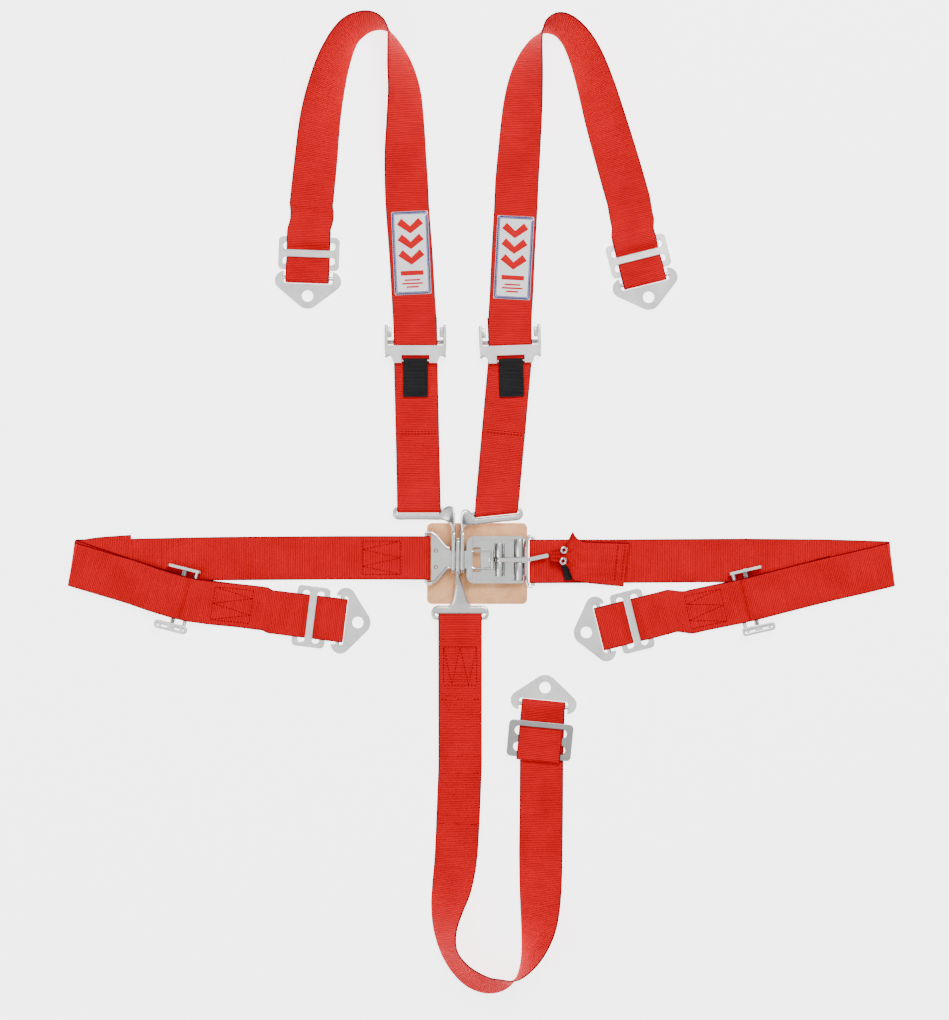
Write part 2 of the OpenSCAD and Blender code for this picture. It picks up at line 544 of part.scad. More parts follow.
module latch_end_plate() {
  z = latch_bar_z;
  color("darkgray") {
    translate([latch_bar[0], latch_bar[1], z]) cross_bar(bar_r, 56);
    translate([body_right + 0.1, latch_bar[1] - 17, z - plate_t / 2]) cube([4.3, 34, plate_t]);
    for (side = [-1, 1]) rod([[body_right + 2.2, latch_bar[1] + side * 16, z], [body_right + 2.8, latch_bar[1] + side * 24, z],
      [54, latch_bar[1] + side * 28.5, z], [latch_bar[0], latch_bar[1] + side * 29, z]], 2);
  }
}
module lever_pin() {
  color("gray") translate([pivot_x, latch_y, pivot_z]) cross_bar(lever_pin_r, slit + 32);
}
// Outline of the lever from the side: hub, hook under the link's bar, and handle
hook_out = 12.5;
hook_in = norm(hook_bar - [pivot_x, pivot_z]) + hook_bar_r + 0.35;
hub_r = 4.6;
module lever_side() {
  difference() {
    union() {
      circle(hub_r);
      intersection() {
        difference() {
          circle(hook_out);
          circle(hook_in);
        }
        polygon([[0, 0], [-30, -8], [-30, -60], [-12, -30]]);
      }
      intersection() {
        circle(hook_out);
        polygon([[0, 0], [-30, -30], [-12, -30]]);
      }
      polygon([[0, -2], [0, hub_r], [24, 4.6], [34, 4.2], [34, 0.6], [14, 0]]);
    }
    circle(pin_hole);
  }
}
lever_bend = 12;
module lever() {
  color("gainsboro") translate([pivot_x, latch_y, pivot_z]) {
    rotate([90, 0, 0]) linear_extrude(lever_w, center = true) lever_side();
    translate([32, -lever_w / 2, 0.8]) rotate([0, 0, lever_bend]) {
      cube([16, lever_w, 3.2]);
      translate([15, lever_w / 2, 0]) linear_extrude(2.2) rounded_box(20, lever_w, 2);
    }
  }
}
module lever_spring() {
  color("dimgray") translate([0, latch_y, 0]) rotate([90, 0, 0]) linear_extrude(4, center = true)
    polygon([[30.5, 5], [37.5, 5], [37.5, 5.6], [32, 5.6], [36.5, 13.6], [35.5, 14.6], [34.9, 14.2], [35.5, 13.4]]);
}
module pull_tab() {
  color("red") {
    ribbon([[79, -58, 16.5, 4, 0, 11], [84, -58, 15, 0, 0, 15], [90, -58.5, 12.8, -4, 0, 26], [96, -59.5, 10.8, -6, 0, 34],
      [102, -61, 9.3, -6, 0, 50], [115, -62.5, 7, -6, 0, 50], [140, -65, 5.3, -6, 0, 50], [169, -67.5, 4.8, -6, 0, 50]], t = 3);
  }
}
module pull_tab_eyelet() {
  color("white") for (place = [[93, -51, 14.1], [92, -65, 14]]) translate(place) rotate([0, 19, 0]) difference() {
    cylinder(r = 4.4, h = 1);
    translate([0, 0, -1]) cylinder(r = 2.4, h = 3);
  }
}
module pull_tab_keeper() {
  color("black") ribbon([[96, -67, 7.2, 270, 0, 8], [97, -76, 6, 275, 0, 9], [98.5, -85, 5.6, 275, 0, 8]], t = 1.4);
}
module latch_pad() {
  color("tan") translate([-5, -66.5, 0]) linear_extrude(2.5) rounded_box(115, 93, 8);
}
module label_patch(x, y, angle) {
  color("white") translate([x, y, web_t + 0.1]) rotate([0, 0, angle]) linear_extrude(0.8) rounded_box(44, 96, 2);
}

module strap(route) color("red") ribbon(route);
strap(strap_left);  // shoulder_strap_left
strap(strap_right);  // shoulder_strap_right
strap(lower_strap(adjuster_sl, tongue_l, -89, -90));  // shoulder_lower_left
strap(lower_strap(adjuster_sr, tongue_r, -96, -84));  // shoulder_lower_right
strap(lap_left);  // lap_strap_left
strap(lap_right);  // lap_strap_right
strap(anchor_strap_left);  // lap_anchor_strap_left
strap(anchor_strap_right);  // lap_anchor_strap_right
strap(strap_crotch);  // crotch_strap
label_patch(-80.5, 289.5, 2.6);  // label_patch_left
label_patch(37, 284, -3);  // label_patch_right
color("silver") anchor_plate(anchor_sl);  // anchor_plate_shoulder_left
color("silver") anchor_plate(anchor_sr);  // anchor_plate_shoulder_right
color("silver") anchor_plate(anchor_ll);  // anchor_plate_lap_left
color("silver") anchor_plate(anchor_lr);  // anchor_plate_lap_right
color("silver") anchor_plate(anchor_cr);  // anchor_plate_crotch
color("silver") slide(anchor_sl);  // slide_shoulder_left
color("silver") slide(anchor_sr);  // slide_shoulder_right
color("silver") slide(anchor_ll);  // slide_lap_left
color("silver") slide(anchor_lr);  // slide_lap_right
color("gray") slide(anchor_cr);  // slide_crotch
color("silver") adjuster_frame(adjuster_sl, true);  // adjuster_frame_shoulder_left
color("silver") adjuster_frame(adjuster_sr, true);  // adjuster_frame_shoulder_right
color("silver") adjuster_frame(adjuster_ll, false);  // adjuster_frame_lap_left
color("silver") adjuster_frame(adjuster_lr, false);  // adjuster_frame_lap_right
color("gray") adjuster_bar(adjuster_sl);  // adjuster_bar_shoulder_left
color("gray") adjuster_bar(adjuster_sr);  // adjuster_bar_shoulder_right
color("gray") adjuster_bar(adjuster_ll);  // adjuster_bar_lap_left
color("gray") adjuster_bar(adjuster_lr);  // adjuster_bar_lap_right
color("black") release_tab(adjuster_sl);  // release_tab_left
color("black") release_tab(adjuster_sr);  // release_tab_right
color("silver") shoulder_tongue(tongue_l, 1, 0, ring_left_x);  // tongue_left
color("silver") shoulder_tongue(tongue_r, -1, 6, ring_right_x);  // tongue_right
tongue_crotch();
link_plate();
link_tongue();
link_rivets();
latch_body();
latch_end_plate();
latch_cross_tube();
lever();
lever_pin();
lever_spring();
pull_tab();
pull_tab_eyelet();
pull_tab_keeper();
latch_pad();
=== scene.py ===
import math
import bpy
import bmesh
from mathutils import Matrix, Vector, noise


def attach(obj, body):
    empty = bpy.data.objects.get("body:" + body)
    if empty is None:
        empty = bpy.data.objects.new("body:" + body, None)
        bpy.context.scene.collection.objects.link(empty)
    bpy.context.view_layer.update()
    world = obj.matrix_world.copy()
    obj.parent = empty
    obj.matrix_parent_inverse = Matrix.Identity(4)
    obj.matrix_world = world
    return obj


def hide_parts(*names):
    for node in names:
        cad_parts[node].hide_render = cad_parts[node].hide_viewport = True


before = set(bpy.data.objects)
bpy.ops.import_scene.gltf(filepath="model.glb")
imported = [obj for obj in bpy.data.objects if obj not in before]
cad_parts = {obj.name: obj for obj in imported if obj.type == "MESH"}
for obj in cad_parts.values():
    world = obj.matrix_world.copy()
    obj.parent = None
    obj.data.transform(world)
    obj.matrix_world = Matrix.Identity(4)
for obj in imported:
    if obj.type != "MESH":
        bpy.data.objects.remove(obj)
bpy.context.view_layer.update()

# Lengths below are millimetres in the harness's own frame, and become metres in add_mesh.
MM = 0.001
scene = bpy.context.scene
rad = math.radians


def cosd(a):
    return math.cos(rad(a))


def sind(a):
    return math.sin(rad(a))


# ---- camera, light, floor
def add_camera():
    cam = bpy.data.objects.new("camera", bpy.data.cameras.new("camera"))
    scene.collection.objects.link(cam)
    cam.location = (-0.0080, -0.0052, 3.2)
    cam.rotation_euler = (0, 0, 0)
    cam.data.sensor_fit = "AUTO"
    cam.data.sensor_width = 36
    cam.data.lens = 98.47
    cam.data.clip_start = 0.05
    cam.data.clip_end = 50
    scene.camera = cam


def add_area(name, place, aim, size, power):
    lamp = bpy.data.lights.new(name, "AREA")
    lamp.shape = "DISK"
    lamp.size = size
    lamp.energy = power
    ob = bpy.data.objects.new(name, lamp)
    scene.collection.objects.link(ob)
    ob.location = place
    ob.rotation_euler = (Vector(aim) - Vector(place)).to_track_quat("-Z", "Y").to_euler()


def add_world():
    world = bpy.data.worlds.new("studio")
    scene.world = world
    world.use_nodes = True
    n, k = world.node_tree.nodes, world.node_tree.links
    n.clear()
    out = n.new("ShaderNodeOutputWorld")
    back = n.new("ShaderNodeBackground")
    coord = n.new("ShaderNodeTexCoord")
    split = n.new("ShaderNodeSeparateXYZ")
    ramp = n.new("ShaderNodeValToRGB")
    k.new(coord.outputs["Generated"], split.inputs[0])
    k.new(split.outputs["Z"], ramp.inputs[0])
    e = ramp.color_ramp.elements
    e[0].position, e[0].color = 0.0, (0.10, 0.10, 0.11, 1)
    e[1].position, e[1].color = 0.93, (1.35, 1.35, 1.35, 1)
    for at, level in ((0.30, 0.16), (0.55, 0.42), (0.75, 0.95)):
        ramp.color_ramp.elements.new(at).color = (level, level, level * 1.02, 1)
    k.new(ramp.outputs[0], back.inputs["Color"])
    back.inputs["Strength"].default_value = 1.0
    k.new(back.outputs[0], out.inputs[0])


# ---- node helpers
class Graph:
    def __init__(self, name):
        self.mat = bpy.data.materials.new(name)
        self.mat.use_nodes = True
        self.n = self.mat.node_tree.nodes
        self.k = self.mat.node_tree.links
        self.n.clear()
        self.out = self.n.new("ShaderNodeOutputMaterial")
        self.bsdf = self.n.new("ShaderNodeBsdfPrincipled")
        self.k.new(self.bsdf.outputs[0], self.out.inputs[0])

    def put(self, socket, value):
        if isinstance(value, bpy.types.NodeSocket):
            self.k.new(value, socket)
        else:
            socket.default_value = value

    def set(self, **values):
        names = {"color": "Base Color", "rough": "Roughness", "metal": "Metallic", "normal": "Normal",
                 "sheen": "Sheen Weight", "spec": "Specular IOR Level"}
        for key, value in values.items():
            self.put(self.bsdf.inputs[names[key]], value)
        return self.mat

    def math(self, op, a, b=0.0, c=0.0, clamp=False):
        m = self.n.new("ShaderNodeMath")
        m.operation = op
        m.use_clamp = clamp
        for socket, value in zip(m.inputs, (a, b, c)):
            self.put(socket, value)
        return m.outputs[0]

    def wave(self, value, rate):
        """A sine of the value, from 0 to 1."""
        return self.math("MULTIPLY_ADD", self.math("SINE", self.math("MULTIPLY", value, rate)), 0.5, 0.5)

    def uv(self):
        node = self.n.new("ShaderNodeUVMap")
        node.uv_map = "UVMap"
        s = self.n.new("ShaderNodeSeparateXYZ")
        self.k.new(node.outputs[0], s.inputs[0])
        return node.outputs[0], s.outputs[0], s.outputs[1]

    def place(self):
        c = self.n.new("ShaderNodeTexCoord")
        return c.outputs["Object"]

    def scaled(self, vector, scale, turn=(0, 0, 0)):
        m = self.n.new("ShaderNodeMapping")
        m.inputs["Scale"].default_value = scale
        m.inputs["Rotation"].default_value = turn
        self.k.new(vector, m.inputs["Vector"])
        return m.outputs[0]

    def noise(self, vector, scale, detail=3.0, rough=0.5):
        t = self.n.new("ShaderNodeTexNoise")
        t.inputs["Scale"].default_value = scale
        t.inputs["Detail"].default_value = detail
        t.inputs["Roughness"].default_value = rough
        self.k.new(vector, t.inputs["Vector"])
        return t.outputs[0]

    def ramp(self, value, *stops):
        r = self.n.new("ShaderNodeValToRGB")
        e = r.color_ramp.elements
        while len(e) < len(stops):
            e.new(0.5)
        for item, (at, colour) in zip(e, stops):
            item.position = at
            item.color = (*colour, 1) if hasattr(colour, "__len__") else (colour, colour, colour, 1)
        self.put(r.inputs[0], value)
        return r.outputs[0]

    def mix(self, factor, a, b, kind="MIX"):
        m = self.n.new("ShaderNodeMix")
        m.data_type = "RGBA"
        m.blend_type = kind
        self.put(m.inputs[0], factor)
        for socket, value in ((m.inputs[6], a), (m.inputs[7], b)):
            self.put(socket, (*value, 1) if isinstance(value, tuple) and len(value) == 3 else value)
        return m.outputs[2]

    def bump(self, height, strength, distance, normal=None):
        b = self.n.new("ShaderNodeBump")
        b.inputs["Strength"].default_value = strength
        b.inputs["Distance"].default_value = distance
        self.k.new(height, b.inputs["Height"])
        if normal is not None:
            self.k.new(normal, b.inputs["Normal"])
        return b.outputs[0]


# ---- materials
# UVs on woven pieces are in units of one webbing width, 50 mm, across and along.
def webbing_material(name, light, dark, edge, pitch=2.0, width=50.0):
    g = Graph(name)
    uv, u, v = g.uv()
    wander = g.noise(g.scaled(uv, (3, 6, 1)), 1.0, 3)
    shifted = g.math("ADD", v, g.math("MULTIPLY", g.math("SUBTRACT", wander, 0.5), 0.012))
    rib = g.wave(shifted, 2 * math.pi * 50 / pitch)
    warp = g.wave(u, 2 * math.pi * 50 / 1.1)
    streak = g.noise(g.scaled(uv, (1.2, 42, 1)), 1.0, 4, 0.7)
    broad = g.noise(g.scaled(uv, (1.5, 1.1, 1)), 1.0, 2)
    # Colour: the crests of the ribs are painted lighter, a painted sheen; the streaks, blotches and warp lines are the
    # weave's own uneven tone.
    rib_sheen_and_tone = g.math("ADD", g.math("MULTIPLY", rib, 0.42), g.math("MULTIPLY", streak, 0.62))
    rib_sheen_and_tone = g.math("ADD", rib_sheen_and_tone, g.math("MULTIPLY", g.math("SUBTRACT", broad, 0.5), 0.35))
    rib_sheen_and_tone = g.math("ADD", rib_sheen_and_tone, g.math("MULTIPLY", g.math("SUBTRACT", warp, 0.5), 0.08), clamp=True)
    body = g.ramp(rib_sheen_and_tone, (0.12, dark), (0.52, tuple(0.5 * (a + b) for a, b in zip(light, dark))), (0.86, light))
    # Both edges are painted dark: painted shade where the webbing rolls down to its edge.
    off_mid = g.math("ABSOLUTE", g.math("SUBTRACT", u, 0.5 * width / 50))
    rim = g.ramp(g.math("MULTIPLY", off_mid, 2 * 50 / width), (0.945, 0.0), (0.975, 1.0))
    colour = g.mix(rim, body, edge)
    height = g.math("ADD", g.math("MULTIPLY", rib, 0.7), g.math("MULTIPLY", warp, 0.25))
    height = g.math("ADD", height, g.math("MULTIPLY", streak, 0.5))
    rough = g.math("MULTIPLY_ADD", streak, 0.2, 0.58)
    return g.set(color=colour, rough=rough, normal=g.bump(height, 0.8, 0.0007), spec=0.05)


def metal_material(name, low, high, rough, scratch=0.25, bump=0.15):
    tint = (1.0, 1.0, 0.985)
    g = Graph(name)
    p = g.place()
    cloud = g.noise(p, 55, 4, 0.6)
    fine = g.noise(g.scaled(p, (1, 9, 9), (0, 0, 0.6)), 420, 3, 0.7)
    cross = g.noise(g.scaled(p, (9, 1, 9), (0, 0, -0.4)), 380, 3, 0.7)
    lines = g.math("ADD", g.math("MULTIPLY", fine, 0.5), g.math("MULTIPLY", cross, 0.5))
    tone = g.math("ADD", g.math("MULTIPLY", cloud, 0.6), g.math("MULTIPLY", lines, 0.4))
    colour = g.ramp(tone, (0.34, tuple(low * c for c in tint)), (0.66, tuple(high * c for c in tint)))
    worn = g.math("MULTIPLY_ADD", lines, scratch, rough - scratch / 2)
    r = g.math("ADD", worn, g.math("MULTIPLY", cloud, 0.08), clamp=True)
    pit = g.noise(p, 900, 2, 0.5)
    height = g.math("ADD", g.math("MULTIPLY", pit, 0.5), lines)
    return g.set(color=colour, metal=1.0, rough=r, normal=g.bump(height, bump, 0.0002))


def knurl_material():
    g = Graph("knurled_steel_fine")
    p = g.place()
    s = g.n.new("ShaderNodeSeparateXYZ")
    g.k.new(p, s.inputs[0])
    a = g.math("SINE", g.math("MULTIPLY", g.math("ADD", s.outputs[0], s.outputs[2]), 2 * math.pi / 0.0016))
    b = g.math("SINE", g.math("MULTIPLY", g.math("SUBTRACT", s.outputs[1], s.outputs[2]), 2 * math.pi / 0.0016))
    height = g.math("MULTIPLY", a, b)
    # The colour darkens in the grooves and lightens on the points of the knurl: painted shade and painted highlight.
    colour = g.ramp(g.math("MULTIPLY_ADD", height, 0.5, 0.5), (0.2, (0.34, 0.34, 0.34)), (0.8, (0.66, 0.66, 0.65)))
    return g.set(color=colour, metal=1.0, rough=0.38, normal=g.bump(height, 0.8, 0.0004))


def leather_material():
    g = Graph("tan_leather")
    p = g.place()
    cell = g.n.new("ShaderNodeTexVoronoi")
    cell.inputs["Scale"].default_value = 620
    g.k.new(p, cell.inputs["Vector"])
    grain = g.noise(p, 700, 4, 0.6)
    mottle = g.noise(p, 42, 4, 0.6)
    pores = g.math("ADD", g.math("MULTIPLY", cell.outputs["Distance"], 0.7), g.math("MULTIPLY", grain, 0.5))
    colour = g.ramp(g.math("ADD", g.math("MULTIPLY", mottle, 0.75), g.math("MULTIPLY", pores, 0.25)),
                    (0.32, (0.60, 0.27, 0.12)), (0.55, (0.86, 0.43, 0.20)), (0.75, (0.97, 0.56, 0.29)))
    rough = g.math("MULTIPLY_ADD", grain, 0.25, 0.45)
    return g.set(color=colour, rough=rough, normal=g.bump(pores, 0.35, 0.0004), spec=0.2)


def thread_material(name, low, high):
    g = Graph(name)
    p = g.place()
    ply = g.noise(g.scaled(p, (1, 1, 1)), 1800, 2)
    colour = g.ramp(ply, (0.3, low), (0.7, high))
    return g.set(color=colour, rough=0.7, normal=g.bump(ply, 0.5, 0.0002), spec=0.08)


def label_material():
    g = Graph("label_weave")
    uv, u, v = g.uv()
    a = g.math("SINE", g.math("MULTIPLY", u, 2 * math.pi * 50 / 0.9))
    b = g.math("SINE", g.math("MULTIPLY", v, 2 * math.pi * 50 / 0.9))
    weave = g.math("MULTIPLY_ADD", g.math("MULTIPLY", a, b), 0.5, 0.5)
    soil = g.noise(g.scaled(uv, (3, 3, 1)), 1.0, 3)
    colour = g.ramp(g.math("ADD", g.math("MULTIPLY", weave, 0.35), g.math("MULTIPLY", soil, 0.65)),
                    (0.25, (0.86, 0.86, 0.88)), (0.75, (0.97, 0.97, 0.98)))
    return g.set(color=colour, rough=0.6, normal=g.bump(weave, 0.35, 0.0002), sheen=0.15)


def floor_material():
    g = Graph("floor_paper")
    p = g.place()
    mottle = g.noise(p, 60, 3, 0.6)
    colour = g.ramp(mottle, (0.3, (0.87, 0.87, 0.875)), (0.7, (0.89, 0.89, 0.89)))
    g.bsdf.inputs["Emission Color"].default_value = (1, 1, 1, 1)
    g.bsdf.inputs["Emission Strength"].default_value = 3.4
    return g.set(color=colour, rough=0.75, normal=g.bump(mottle, 0.05, 0.0002), spec=0.2)


# ---- mesh helpers
def add_mesh(name, verts, faces, uvs=None, smooth=True):
    """verts in mm; uvs one (u, v) a vertex."""
    me = bpy.data.meshes.new(name)
    me.from_pydata([(x * MM, y * MM, z * MM) for x, y, z in verts], [], faces)
    if uvs is not None:
        layer = me.uv_layers.new(name="UVMap")
        for loop in me.loops:
            layer.data[loop.index].uv = uvs[loop.vertex_index]
    me.validate()
    me.update()
    ob = bpy.data.objects.new(name, me)
    scene.collection.objects.link(ob)
    if smooth:
        me.polygons.foreach_set("use_smooth", [True] * len(me.polygons))
    return ob


def fix_normals(ob):
    bm = bmesh.new()
    bm.from_mesh(ob.data)
    bmesh.ops.recalc_face_normals(bm, faces=bm.faces)
    bm.to_mesh(ob.data)
    bm.free()


def sharp_by_angle(ob, degrees=38):
    me = ob.data
    bm = bmesh.new()
    bm.from_mesh(me)
    for e in bm.edges:
        e.smooth = len(e.link_faces) != 2 or e.calc_face_angle(0) < rad(degrees)
    bm.to_mesh(me)
    bm.free()


def finish_piece(ob, mat, body, slot, *replaced):
    ob.data.materials.clear()
    ob.data.materials.append(mat)
    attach(ob, body)
    if replaced:
        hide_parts(*replaced)
    return ob


def catmull(p0, p1, p2, p3, t):
    return [0.5 * (2 * b + (c - a) * t + (2 * a - 5 * b + 4 * c - d) * t * t + (3 * b - a - 3 * c + d) * t ** 3)
            for a, b, c, d in zip(p0, p1, p2, p3)]


# ---- routes of the webbing
# A station is [x, y, z, heading, bank]: middle of the strap, the azimuth that its
# width is square to, and how far its left edge is turned up.
LOOP_R = 3.45
LIE = 0.75
SECOND = 2.4
THIRD = 4.05
FOURTH = 5.7
SLIDE_Z = 3.5
OVER_SLIDE = 7.0
UNDER_SLIDE = SLIDE_Z - 0.25 - LIE
KNURL_LOOP = 3.75
# How far a fold stands off its bar, as a multiple of the loop's radius
ANCHOR_SLACK, KNURL_SLACK, FIXED_SLACK, TONGUE_SLACK = 1.55, 1.83, 1.99, 1.25
HALF_TURN = [270 - 22.5 * i for i in range(9)]
OUTER_BAR, MID_BAR, TAIL = 6.5, 8.5, 7


def smooth(st, n):
    out = []
    for i in range(len(st) - 1):
        a, b, c, d = st[max(i - 1, 0)], st[i], st[i + 1], st[min(i + 2, len(st) - 1)]
        out += [catmull(a, b, c, d, k / n) for k in range(n)]
    return out + [list(st[-1])]


def off(bar, a, s, z, h, b=0):
    return [bar[0] + s * cosd(a), bar[1] + s * sind(a), z, h, b]


def turn(bar, a, z, r, h, b=0, slack=1.0):
    """Half turn round a bar; with slack, the fold stands off the far side of the bar, as soft webbing does."""
    return [off(bar, a, r * cosd(f) * slack, z + r * sind(f), h, b) for f in HALF_TURN]


def anchor_run(anchor, h, b=0, bar=None):
    bar, a, mid, length = bar or anchor[:2], anchor[2], anchor[3], anchor[4]
    near, far = mid - length / 2 + OUTER_BAR / 2, mid + length / 2 - OUTER_BAR / 2
    lip, dip = OUTER_BAR / 2 + 0.4, MID_BAR / 2 + 0.4
    return ([off(bar, a, far + OUTER_BAR / 2 + TAIL, LIE, h, b)] + turn(bar, a, 4.2, LOOP_R, h, b, ANCHOR_SLACK)
            + [off(bar, a, s, z, h, b) for s, z in (
                (near - lip, OVER_SLIDE), (near + lip, OVER_SLIDE), (mid - dip, UNDER_SLIDE), (mid + dip, UNDER_SLIDE),
                (far - lip, OVER_SLIDE), (far + lip, OVER_SLIDE), (far + 12, 4.4))])


def landing(anchor, a, h, bar=None):
    """Where the strap comes down to the floor past its slide."""
    far = anchor[3] + anchor[4] / 2 - OUTER_BAR / 2
    bar = bar or anchor[:2]
    return [off(bar, a, far + 22, 1.6, h), off(bar, a, far + 32, LIE, h)]


ANCHORS = {"shoulder_left": (-198.5, 260.5, 88, 28, 38, 70), "shoulder_right": (186.5, 258.5, 104, 28, 38, 70),
           "lap_left": (-162, -131.5, 173, 33.5, 38, 70), "lap_right": (140, -140.5, 14, 33.5, 38, 70),
           "crotch": (70.8, -229, 264.5, 40, 42, 74)}
ADJUSTERS = {"shoulder_left": (-75.5, 180, 4.5, 270), "shoulder_right": (33, 180, 4.5, 272),
             "lap_left": (-340, -106.5, 6.6, 346), "lap_right": (302, -108.5, 6.6, 193)}


def bar_at(adj, s):
    return (adj[0] + s * cosd(adj[3]), adj[1] + s * sind(adj[3]))


def knurl(name):
    return bar_at(ADJUSTERS[name], -7)


def fixed(name):
    return bar_at(ADJUSTERS[name], 7)


def stand(x, y, h, b):
    return [x, y, 1 + abs(sind(b)) * 25, h, b]


loop_left = smooth([stand(-195, 345, 86, 5), stand(-189.5, 395, 82, 14), stand(-184.5, 440, 79, 24),
  stand(-177.5, 475, 73, 35), stand(-167, 510, 62, 46), stand(-152, 538, 38, 57), stand(-135, 549, 10, 66),
  stand(-119, 550, -20, 77), stand(-106, 542, -48, 92), stand(-99, 525, -68, 108), stand(-93, 503, -78, 124),
  stand(-88, 474, -84, 137), stand(-87, 440, -88, 148), stand(-87, 404, -90, 161), stand(-86, 370, -89, 173)], 6)
left_bar = (-199.5, 260.5)
strap_left = (anchor_run(ANCHORS["shoulder_left"], 88, 0, left_bar)
  + landing(ANCHORS["shoulder_left"], 86, 87, left_bar) + loop_left
  + [[-85, 344, LIE, -88, 180], [-81, 290, LIE, -88, 180], [-78, 238, LIE, -89, 180], [-77, 223, 4.2, -90, 180],
     [-76, 206, 7.7, -90, 180]]
  + turn(knurl("shoulder_left"), 90, 4.5, KNURL_LOOP, -90, 180)[::-1] + [[-76, 216, LIE, -90, 180]])

loop_right = smooth([stand(168.5, 350, 103, -3), stand(155, 396, 105, -14), stand(141.5, 441, 108, -24),
  stand(129, 483, 113, -36), stand(117, 515, 122, -46), stand(103, 537, 145, -55), stand(89, 547, 170, -64),
  stand(76, 545.5, 200, -79), stand(66.5, 537, 226, -98), stand(60, 524, 243, -113), stand(54.5, 506, 255, -128),
  stand(50, 482, 261, -143), stand(46.5, 450, 265, -156), stand(43, 404, 266, -166), stand(40.5, 370, 266, -175)], 6)
strap_right = (anchor_run(ANCHORS["shoulder_right"], 104)
  + [[173.6, 322, 2, 102, 0], [171.4, 334, LIE, 102, 0]] + loop_right
  + [[39.5, 344, LIE, 266, -180], [36.5, 290, LIE, 267, -180], [34, 236, LIE, 268, -180],
     [33, 222, 4.2, 270, -180], [32.4, 206, 7.7, 271, -180]]
  + turn(knurl("shoulder_right"), 92, 4.5, KNURL_LOOP, 272, -180)[::-1] + [[31.6, 216, LIE, 272, -180]])


def lower_strap(name, tongue, h, ht):
    top = fixed(name)
    a = math.degrees(math.atan2(top[1] - tongue[1], top[0] - tongue[0]))
    m = (h + ht) / 2
    d = ADJUSTERS[name][3]
    return ([off(top, a, -92, LIE, h), off(top, a, -12, LIE, h)] + turn(top, d, 4.5, LOOP_R, d - 360)
            + [off(top, a, -14, 5.9, h), off(top, a, -34, 3.0, h), off(top, a, -52, SECOND, h),
               off(tongue, a, 52, SECOND, h), off(tongue, a, 30, 3.2, h), off(tongue, a, 14, 8.6, m)]
            + turn(tongue, a, 9, LOOP_R, ht, 0, TONGUE_SLACK)[::-1]
            + [off(tongue, a, 14, 2.6, m), off(tongue, a, 26, 1, h), off(tongue, a, 40, LIE, h)])


lap_left = ([[-139, -60, LIE, 180, 0], [-106, -60, LIE, 180, 0], [-82, -60, 4.2, 180, 0]]
  + turn((-63, -60), 180, 12, LOOP_R, 180)
  + [[-80, -60, 11.6, 180, 0], [-104, -60, 3.6, 180, 0], [-118, -60, SECOND, 180, 0], [-141, -60, SECOND, 180, 0],
     [-158, -60, LIE, 180, 0], [-300, -61, LIE, 180, 0], [-400, -63, LIE, 180, 0], [-466, -64, LIE, 179, 0]]
  + [[-466.7 + (FOURTH - LIE) / 2 * cosd(f), -65 - 3 * (270 - f) / 180, LIE + (FOURTH - LIE) / 2 * (1 + sind(f)),
      178 - 13 * (270 - f) / 180, 0] for f in HALF_TURN]
  + [[-440, -76, FOURTH, 164, 0], [-400, -88, FOURTH, 164, 0], [-372, -97.5, 8.2, 165, 0]]
  + turn(knurl("lap_left"), 166, 6.6, KNURL_LOOP, 166, 0, KNURL_SLACK)[::-1]
  + [[-362, -100, 2.9, 166, 0], [-396, -89, THIRD, 166, 0], [-440, -74, THIRD, 172, 0], [-462, -66, THIRD, 176, 0]]
  + [[-464 + (THIRD - SECOND) / 2 * cosd(f), -65, SECOND + (THIRD - SECOND) / 2 * (1 + sind(f)), 178, 0]
     for f in (90, 135, 180, 225, 270)]
  + [[-440, -61.5, SECOND, 182, 0], [-400, -58.5, SECOND, 184, 0]])

anchor_left = ([off(fixed("lap_left"), -7, 84, LIE, -8), off(fixed("lap_left"), -7, 24, LIE, -9)]
  + turn(fixed("lap_left"), -14, 6.6, LOOP_R, -14, 0, FIXED_SLACK)
  + [off(fixed("lap_left"), -8, 14, 7.4, -10), off(fixed("lap_left"), -8, 30, 3.2, -9),
     off(fixed("lap_left"), -7, 48, SECOND, -8), off(fixed("lap_left"), -7, 86, SECOND, -8)]
  + (anchor_run(ANCHORS["lap_left"], -7) + landing(ANCHORS["lap_left"], 173, -7))[::-1])

lap_right = ([[128, -64, LIE, 0, 0], [98, -64, LIE, 0, 0], [74, -64, 2.4, 0, 0]]
  + turn((59, -64), 0, 7, LOOP_R, 0)
  + [[72, -64, 8.8, 0, 0], [92, -64, 3.4, 0, 0], [104, -64, SECOND, 0, 0], [130, -64, SECOND, 0, 0],
     [146, -64, LIE, 0, 0], [300, -63, LIE, 0, 0], [400, -64, LIE, -1, 0], [464, -66, LIE, 0, 0]]
  + [[468.3 + (THIRD - LIE) / 2 * cosd(f), -66.5 - 1.5 * (f - 270) / 180, LIE + (THIRD - LIE) / 2 * (1 + sind(f)),
      1 + 11 * (f - 270) / 180, 0] for f in (540 - g for g in HALF_TURN)]
  + [[440, -75, THIRD, 13, 0], [388, -87, THIRD, 13.5, 0], [350, -96.5, 5.4, 13, 0], [330, -101.5, 8.6, 13, 0]]
  + turn(knurl("lap_right"), 13, 6.6, KNURL_LOOP, 13, 0, KNURL_SLACK)[::-1]
  + [[326, -102.5, 2.9, 13, 0], [360, -94, SECOND, 13, 0], [405, -82, SECOND, 13, 0]])

anchor_right = ([off(fixed("lap_right"), 192, 56, LIE, 12), off(fixed("lap_right"), 192, 24, LIE, 12)]
  + turn(fixed("lap_right"), 193, 6.6, LOOP_R, 13, 0, FIXED_SLACK)
  + [off(fixed("lap_right"), 192, 14, 7.4, 12), off(fixed("lap_right"), 192, 30, 3.2, 12),
     off(fixed("lap_right"), 192, 46, SECOND, 12), off(fixed("lap_right"), 192, 60, SECOND, 12)]
  + (anchor_run(ANCHORS["lap_right"], 14) + landing(ANCHORS["lap_right"], 14, 14))[::-1])

